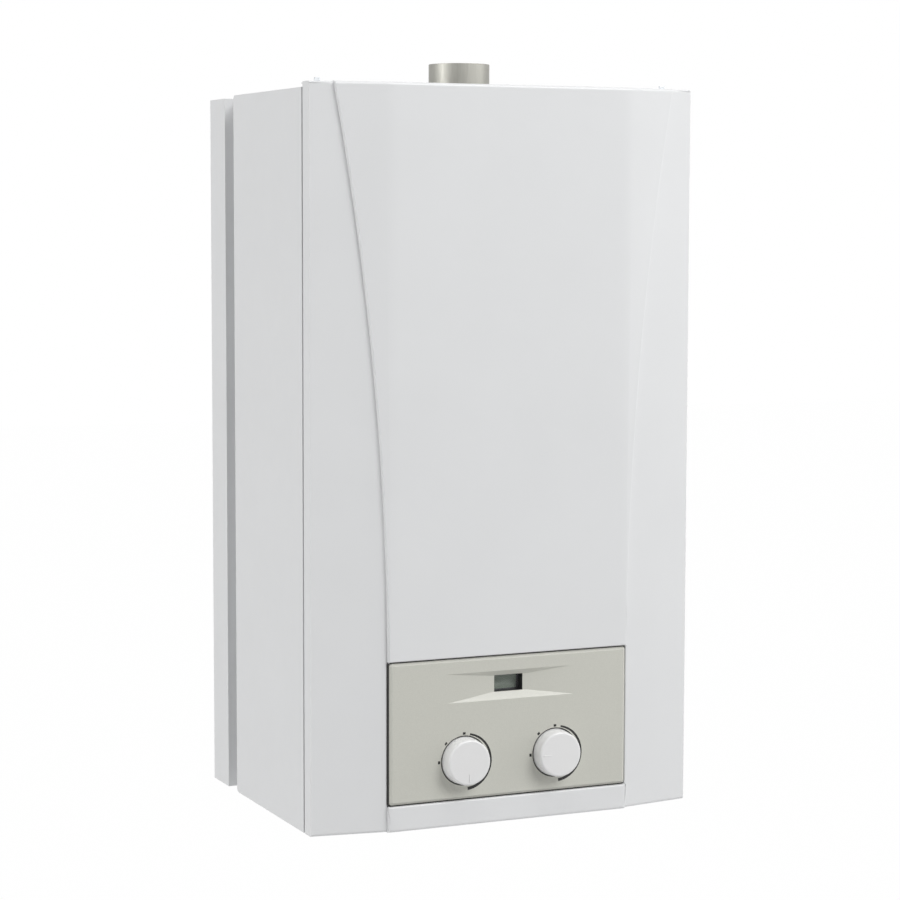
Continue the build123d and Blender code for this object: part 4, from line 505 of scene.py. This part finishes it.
def finished(name, shape, material, body, replaced=(), angle=smooth_angle):
    """A piece from a bmesh: smooth where its faces turn less than an angle, and on its body."""
    mesh = bpy.data.meshes.new(name)
    shape.to_mesh(mesh)
    shape.free()
    for face in mesh.polygons:
        face.use_smooth = True
    mesh.set_sharp_from_angle(angle=angle)
    mesh.materials.append(material)
    piece = bpy.data.objects.new(name, mesh)
    bpy.context.scene.collection.objects.link(piece)
    flat_walls = piece.modifiers.new("flat_walls", "WEIGHTED_NORMAL")
    flat_walls.keep_sharp = True
    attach(piece, body)
    if replaced:
        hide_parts(*replaced)


def merged_copy(node):
    """A CAD node's form as joined faces, each flat wall one face again."""
    shape = bmesh.new()
    shape.from_mesh(frame["nodes"][node].data)
    bmesh.ops.remove_doubles(shape, verts=shape.verts, dist=weld_gap)
    bmesh.ops.dissolve_limit(shape, angle_limit=flat_turn, verts=shape.verts, edges=shape.edges)
    return shape


def chosen_edges(shape, low, high, test=None):
    """Edges whose faces turn between two angles and that pass a test."""
    found = []
    for edge in shape.edges:
        if len(edge.link_faces) != 2:
            continue
        if not low < edge.calc_face_angle() < high:
            continue
        if test is None or test(edge, (edge.verts[0].co + edge.verts[1].co) / 2):
            found.append(edge)
    return found


def round_off(shape, edges, radius, segments=3, clamp=True):
    """Rounds the given edges of a shape."""
    bmesh.ops.bevel(
        shape,
        geom=edges,
        offset=radius,
        offset_type="OFFSET",
        segments=segments,
        profile=0.5,
        affect="EDGES",
        clamp_overlap=clamp,
        material=-1,
    )


def raise_faces(shape, faces, step):
    """Extrudes faces and moves the new ones by a step."""
    grown = bmesh.ops.extrude_face_region(shape, geom=faces)
    moved = [part for part in grown["geom"] if isinstance(part, bmesh.types.BMVert)]
    bmesh.ops.translate(shape, vec=step, verts=moved)


def flat_plate(low_x, high_x, low_z, high_z, front):
    """A flat upright face at a depth."""
    shape = bmesh.new()
    bmesh.ops.create_grid(shape, x_segments=1, y_segments=1, size=0.5)
    size = Matrix.Diagonal((high_x - low_x, high_z - low_z, 1, 1))
    middle = Vector(((low_x + high_x) / 2, -front, (low_z + high_z) / 2))
    stand = Matrix.Translation(middle) @ Matrix.Rotation(math.pi / 2, 4, "X")
    bmesh.ops.transform(shape, matrix=stand @ size, verts=shape.verts)
    return shape


def flat_frame(low_x, high_x, low_z, high_z, wall, front):
    """A flat upright frame of four faces at a depth."""
    shape = flat_plate(low_x, high_x, low_z, high_z, front)
    inside = shape.faces[:]
    bmesh.ops.inset_region(
        shape, faces=inside, thickness=wall, use_boundary=True, use_even_offset=True
    )
    bmesh.ops.delete(shape, geom=inside, context="FACES_ONLY")
    return shape


def deepen(shape, faces, depth):
    """Gives faces that look forward a thickness towards the wall."""
    raise_faces(shape, faces, (0, depth, 0))
    bmesh.ops.recalc_face_normals(shape, faces=shape.faces)


def full_spin(shape, parts, centre):
    """Spins edges once round a line along Y through a centre."""
    bmesh.ops.spin(
        shape,
        geom=parts,
        cent=centre,
        axis=(0, 1, 0),
        angle=math.tau,
        steps=round_steps,
        use_merge=True,
    )


def turned(profile, centre):
    """A form turned about a line along Y, from (radius, depth) points, flat at both ends."""
    shape = bmesh.new()
    points = [
        shape.verts.new((centre.x + radius, -depth, centre.z)) for radius, depth in profile
    ]
    line = [shape.edges.new(pair) for pair in zip(points, points[1:])]
    full_spin(shape, points + line, centre)
    bmesh.ops.remove_doubles(shape, verts=shape.verts, dist=weld_gap)
    bmesh.ops.holes_fill(shape, edges=shape.edges, sides=round_steps)
    bmesh.ops.recalc_face_normals(shape, faces=shape.faces)
    return shape


def show_node(node, name, shape, material=None, angle=smooth_angle):
    """Shows a CAD node as that shape, on its own body and in its slot's finish or the one given.
    """
    slot = node_slot[node]
    finished(name, shape, material or slot_material[slot], node_body[node], (node,), angle)


def dress(node, radius, material=None):
    """Shows a CAD node with rounded edges, in the finish of its slot."""
    shape = merged_copy(node)
    round_off(shape, chosen_edges(shape, sharp_turn, math.pi), radius, 2)
    show_node(node, node + "_finish", shape, material)


# Casing


def rise(edge):
    """How far an edge climbs."""
    return abs(edge.verts[0].co.z - edge.verts[1].co.z)


def on_joggle(edge, middle):
    """True on the long outer edges of the step round the raised centre."""
    if not joggle_near < abs(middle.x) < joggle_far or middle.y > -joggle_depth:
        return False
    if rise(edge) < level_rise:
        return False
    outward = math.copysign(1, middle.x)
    return any(outward * face.normal.x > side_facing for face in edge.link_faces)


def band_creases(shape):
    """Cuts a narrow band on both sides of each crease, so that the turn stays soft but local."""
    for side in (-1, 1):
        for band in crease_bands:
            parts = shape.verts[:] + shape.edges[:] + shape.faces[:]
            place = (side * band, 0, 0)
            bmesh.ops.bisect_plane(shape, geom=parts, plane_co=place, plane_no=(1, 0, 0))


def on_front_corner(edge, middle):
    """True on the outer upright corners between a facet and a side return."""
    return abs(middle.x) > corner_side and rise(edge) > corner_rise


def on_opening(edge, middle):
    """True on the outer edge of the opening for the control panel."""
    if middle.y > -(fascia_face - opening_step):
        return False
    beside = opening_low - opening_reach < middle.z < opening_high + opening_reach
    at_side = beside and abs(abs(middle.x) - opening_half) < opening_reach
    from_end = min(abs(middle.z - opening_low), abs(middle.z - opening_high))
    at_end = abs(middle.x) < opening_half and from_end < opening_reach
    return at_side or at_end


def make_front_casing():
    """The pressed front casing with a soft step, creases and a rounded opening."""
    shape = merged_copy("front_casing")
    rounds = (
        (on_joggle, joggle_round, 5),
        (on_front_corner, corner_round, 5),
        (on_opening, opening_round, 3),
    )
    for test, radius, segments in rounds:
        edges = chosen_edges(shape, sharp_turn, math.pi, test)
        round_off(shape, edges, radius, segments, False)
    band_creases(shape)
    show_node("front_casing", "front_casing_finish", shape)


# Control panel


def on_panel_face(edge, middle):
    """True where at least one face beside the edge looks forward."""
    return any(face.normal.y < -front_facing for face in edge.link_faces)


def make_panel():
    """The panel with crisp but rounded edges round its recess and its wells."""
    shape = merged_copy("control_fascia")
    edges = chosen_edges(shape, panel_turn, math.pi, on_panel_face)
    round_off(shape, edges, control_panel_round, 2)
    show_node("control_fascia", "panel_finish", shape, angle=crisp_angle)


def make_gap_shade():
    """Black strips in the gap round the panel, painted shade for the shadow in the gap: near its
    face at left and top, deeper below.
    """
    top = opening_high - 2 * shade_strip_width
    foot = opening_low + 2 * shade_strip_width
    # Painted shade: black strips that stand for the shadow in the gap round the panel
    strips = (
        ("panel_gap_shade", shade_strip_front, lambda middle: middle.x < 0 or middle.z > top),
        ("lower_gap_shade", low_shade_strip_front, lambda middle: middle.z < foot),
    )
    for name, front, kept in strips:
        shape = flat_frame(
            -opening_half, opening_half, opening_low, opening_high, shade_strip_width, front
        )
        others = [face for face in shape.faces if not kept(face.calc_center_median())]
        bmesh.ops.delete(shape, geom=others, context="FACES")
        deepen(shape, shape.faces[:], front - shade_strip_back)
        finished(name, shape, gap_shade_finish, "boiler")


def on_knob_face(edge, middle):
    """True on the rim of a knob's face."""
    return middle.y < -(knob_face - MM)


def make_knob(node, x, pointer_turn):
    """A control knob: a slightly tapered cap with a soft bright rim, and its stem."""
    centre = Vector((x, 0, knob_z))
    profile = [
        (knob_rim_radius, knob_face),
        (knob_radius, fascia_face),
        (knob_radius, knob_base),
        (knob_stem_radius, knob_base),
        (knob_stem_radius, knob_stem_end),
    ]
    shape = turned(profile, centre)
    rim = chosen_edges(shape, sharp_turn, math.pi, on_knob_face)
    round_off(shape, rim, knob_rim_round, knob_rim_steps, False)
    show_node(node, node + "_cap", shape)
    make_pointer(node + "_pointer", centre, pointer_turn, node_body[node])


def make_pointer(name, centre, turn, body):
    """A narrow raised rib on the knob's face, wider towards the rim and rounded along its top."""
    shape = bmesh.new()
    bmesh.ops.create_grid(shape, x_segments=1, y_segments=1, size=0.5)
    bmesh.ops.scale(shape, vec=(pointer_length, pointer_width, 1), verts=shape.verts)
    raise_faces(shape, shape.faces[:], (0, 0, pointer_rise + pointer_sink))
    inner = [vert for vert in shape.verts if vert.co.x < 0]
    bmesh.ops.scale(shape, vec=(1, pointer_taper, 1), verts=inner)
    round_off(shape, chosen_edges(shape, sharp_turn, math.pi), pointer_round)
    middle = knob_rim_radius - knob_rim_round - pointer_margin - pointer_length / 2
    stand = Matrix.Translation((middle, 0, 0)) @ Matrix.Rotation(math.pi / 2, 4, "X")
    place = Matrix.Translation(Vector((centre.x, -(knob_face - pointer_sink), centre.z)))
    spin = Matrix.Rotation(turn, 4, "Y")
    bmesh.ops.transform(shape, matrix=place @ spin @ stand, verts=shape.verts)
    bmesh.ops.recalc_face_normals(shape, faces=shape.faces)
    finished(name, shape, slot_material["knob_plastic"], body, ())


def clock(centre, turn, radius):
    """A place on the panel's face, at a clock angle and a radius from a centre."""
    return centre + Vector((radius * math.sin(turn), 0, radius * math.cos(turn)))


def add_gap_shade_ring(shape, centre):
    """A thin black ring close round the knob: painted shade for the shadowed gap between knob and
    panel.
    """
    inner = shape.verts.new(clock(centre, 0, shade_ring_radius - shade_ring_width / 2))
    outer = shape.verts.new(clock(centre, 0, shade_ring_radius + shade_ring_width / 2))
    edge = shape.edges.new((inner, outer))
    full_spin(shape, [inner, outer, edge], centre)


def make_scale(name, x, mark_turns):
    """A printed arc that grows from noon to six, a thin black ring of painted shade round the
    knob, and three plain marks opposite.
    """
    centre = Vector((x, -(fascia_face + print_lift), knob_z))
    arc_centre = centre + Vector((arc_shift[0], 0, arc_shift[1]))
    shape = bmesh.new()
    inner = shape.verts.new(clock(arc_centre, arc_start, arc_radius))
    outer = shape.verts.new(clock(arc_centre, arc_start, arc_radius + MM))
    edge = shape.edges.new((inner, outer))
    bmesh.ops.spin(
        shape,
        geom=[inner, outer, edge],
        cent=arc_centre,
        axis=(0, 1, 0),
        angle=arc_end - arc_start,
        steps=arc_steps,
    )
    for vert in shape.verts:
        arm = vert.co - arc_centre
        turn = math.atan2(arm.x, arm.z)
        share = (turn - arc_start) / (arc_end - arc_start)
        half = (arc_start_width + share * (arc_end_width - arc_start_width)) / 2
        side = 1 if arm.length > arc_radius + MM / 2 else -1
        vert.co = clock(arc_centre, turn, arc_radius + side * half)
    # Painted shade: the black ring stands for the shadow in the gap round the knob
    add_gap_shade_ring(shape, centre)
    for turn in mark_turns:
        mark = bmesh.ops.create_grid(shape, x_segments=1, y_segments=1, size=0.5)["verts"]
        size = Matrix.Diagonal((mark_width, mark_length, 1, 1))
        stand = Matrix.Rotation(turn, 4, "Y") @ Matrix.Rotation(math.pi / 2, 4, "X")
        place = Matrix.Translation(clock(centre, turn, mark_radius))
        bmesh.ops.transform(shape, matrix=place @ stand @ size, verts=mark)
    deepen(shape, shape.faces[:], print_thickness)
    finished(name, shape, print_and_shade_ink, "boiler")


# Display


def make_display():
    """The display behind its window: a black lining, a thin pane and the grey field."""
    lining = flat_frame(
        -window_half, window_half, window_low, window_high, liner_wall, window_front
    )
    deepen(lining, lining.faces[:], window_front - pane_front)
    finished("display_lining", lining, slot_material["motor_plastic"], "boiler")
    pane = flat_plate(-pane_half, pane_half, pane_low, pane_high, pane_front)
    deepen(pane, pane.faces[:], pane_thickness)
    show_node("display_window", "display_pane", pane)
    field_front = pane_back + field_thickness
    field = flat_plate(-field_half_left, field_half_right, field_low, field_high, field_front)
    deepen(field, field.faces[:], field_thickness)
    finished("display_field", field, crystal, "boiler")


# Pressure gauge


def make_dial():
    """Plain numbers printed round the gauge's dial, read from below."""
    centre = Vector((gauge_x, gauge_y, dial_z))
    for place, number in enumerate(dial_numbers):
        data = bpy.data.curves.new("dial_number", "FONT")
        data.body = number
        data.size = numeral_height
        data.align_x = "CENTER"
        data.align_y = "CENTER"
        data.extrude = numeral_thickness
        written = bpy.data.objects.new("dial_number", data)
        mesh = bpy.data.meshes.new_from_object(written)
        turn = math.radians(dial_start + dial_sweep * place / (len(dial_numbers) - 1))
        spot = centre + Vector((dial_radius * math.sin(turn), dial_radius * -math.cos(turn), 0))
        mesh.transform(Matrix.Translation(spot) @ Matrix.Rotation(math.pi, 4, "X"))
        shape = bmesh.new()
        shape.from_mesh(mesh)
        bpy.data.objects.remove(written)
        finished("dial_number_" + number, shape, dial_print, "boiler")


# Stage


def seen_share(tree, level):
    """A share of that level on rays that the camera, gloss or glass sends out."""
    path = tree.nodes.new("ShaderNodeLightPath")
    total = path.outputs["Is Camera Ray"]
    for kind in ("Is Glossy Ray", "Is Transmission Ray"):
        either = tree.nodes.new("ShaderNodeMath")
        either.operation = "MAXIMUM"
        tree.links.new(total, either.inputs[0])
        tree.links.new(path.outputs[kind], either.inputs[1])
        total = either.outputs["Value"]
    share = tree.nodes.new("ShaderNodeMath")
    share.operation = "MULTIPLY"
    share.inputs[1].default_value = level
    tree.links.new(total, share.inputs[0])
    return share.outputs["Value"]


def stage():
    """A pale floor far below the hung boiler, that the camera sees nearly white."""
    bpy.ops.mesh.primitive_plane_add(size=floor_size, location=(0, 0, -floor_drop))
    floor = bpy.context.object
    floor.name = "floor"
    material = bpy.data.materials.new("pale_floor")
    material.use_nodes = True
    tree = material.node_tree
    shader = tree.nodes["Principled BSDF"]
    shader.inputs["Base Color"].default_value = floor_pale
    shader.inputs["Roughness"].default_value = 0.9
    glow = tree.nodes.new("ShaderNodeEmission")
    mix = tree.nodes.new("ShaderNodeMixShader")
    tree.links.new(seen_share(tree, floor_share), mix.inputs["Fac"])
    tree.links.new(shader.outputs[0], mix.inputs[1])
    tree.links.new(glow.outputs[0], mix.inputs[2])
    tree.links.new(mix.outputs[0], tree.nodes["Material Output"].inputs["Surface"])
    floor.data.materials.append(material)


def surround(level):
    """Even light from all round, and plain white where the camera looks past the object."""
    world = bpy.data.worlds.new("surround")
    bpy.context.scene.world = world
    world.use_nodes = True
    tree = world.node_tree
    light = tree.nodes["Background"]
    light.inputs["Color"].default_value = plain_white
    light.inputs["Strength"].default_value = level
    white = tree.nodes.new("ShaderNodeBackground")
    white.inputs["Color"].default_value = plain_white
    white.inputs["Strength"].default_value = 1.0
    mix = tree.nodes.new("ShaderNodeMixShader")
    tree.links.new(seen_share(tree, 1.0), mix.inputs["Fac"])
    tree.links.new(light.outputs[0], mix.inputs[1])
    tree.links.new(white.outputs[0], mix.inputs[2])
    tree.links.new(mix.outputs[0], tree.nodes["World Output"].inputs["Surface"])


def softbox(name, bearing, height, distance, side, power):
    """A square softbox aimed at the boiler; its bearing counts from the front to the right."""
    bearing = math.radians(bearing)
    height = math.radians(height)
    flat = distance * math.cos(height)
    place = aim + Vector(
        (flat * math.sin(bearing), -flat * math.cos(bearing), distance * math.sin(height))
    )
    data = bpy.data.lights.new(name, "AREA")
    data.size = side
    data.energy = power
    light = bpy.data.objects.new(name, data)
    light.location = place
    light.rotation_euler = (aim - place).to_track_quat("-Z", "Y").to_euler()
    bpy.context.scene.collection.objects.link(light)


# The whole boiler


def paint_nodes():
    """Gives every CAD node the finish of its slot."""
    for node, thing in frame["nodes"].items():
        thing.data.materials.clear()
        thing.data.materials.append(slot_material[node_slot[node]])


def dress_nodes():
    """Shows each CAD node that isn't shaped anew with its edges rounded."""
    for node in frame["nodes"]:
        if node not in shaped_here:
            radius = side_panel_round if node in side_panels else edge_round
            dress(node, radius, tail_brass if node in threaded else None)


place_camera()
paint_nodes()
dress_nodes()
make_front_casing()
make_panel()
make_gap_shade()
make_knob("heating_knob", -knob_x, heating_pointer_turn)
make_knob("water_knob", knob_x, water_pointer_turn)
make_scale("heating_scale_and_shade_ring", -knob_x, heating_mark_turns)
make_scale("water_scale_and_shade_ring", knob_x, water_mark_turns)
make_display()
make_dial()

stage()
surround(surround_level)
for box in softboxes:
    softbox(*box)

scene = bpy.context.scene
scene.view_settings.view_transform = "Standard"
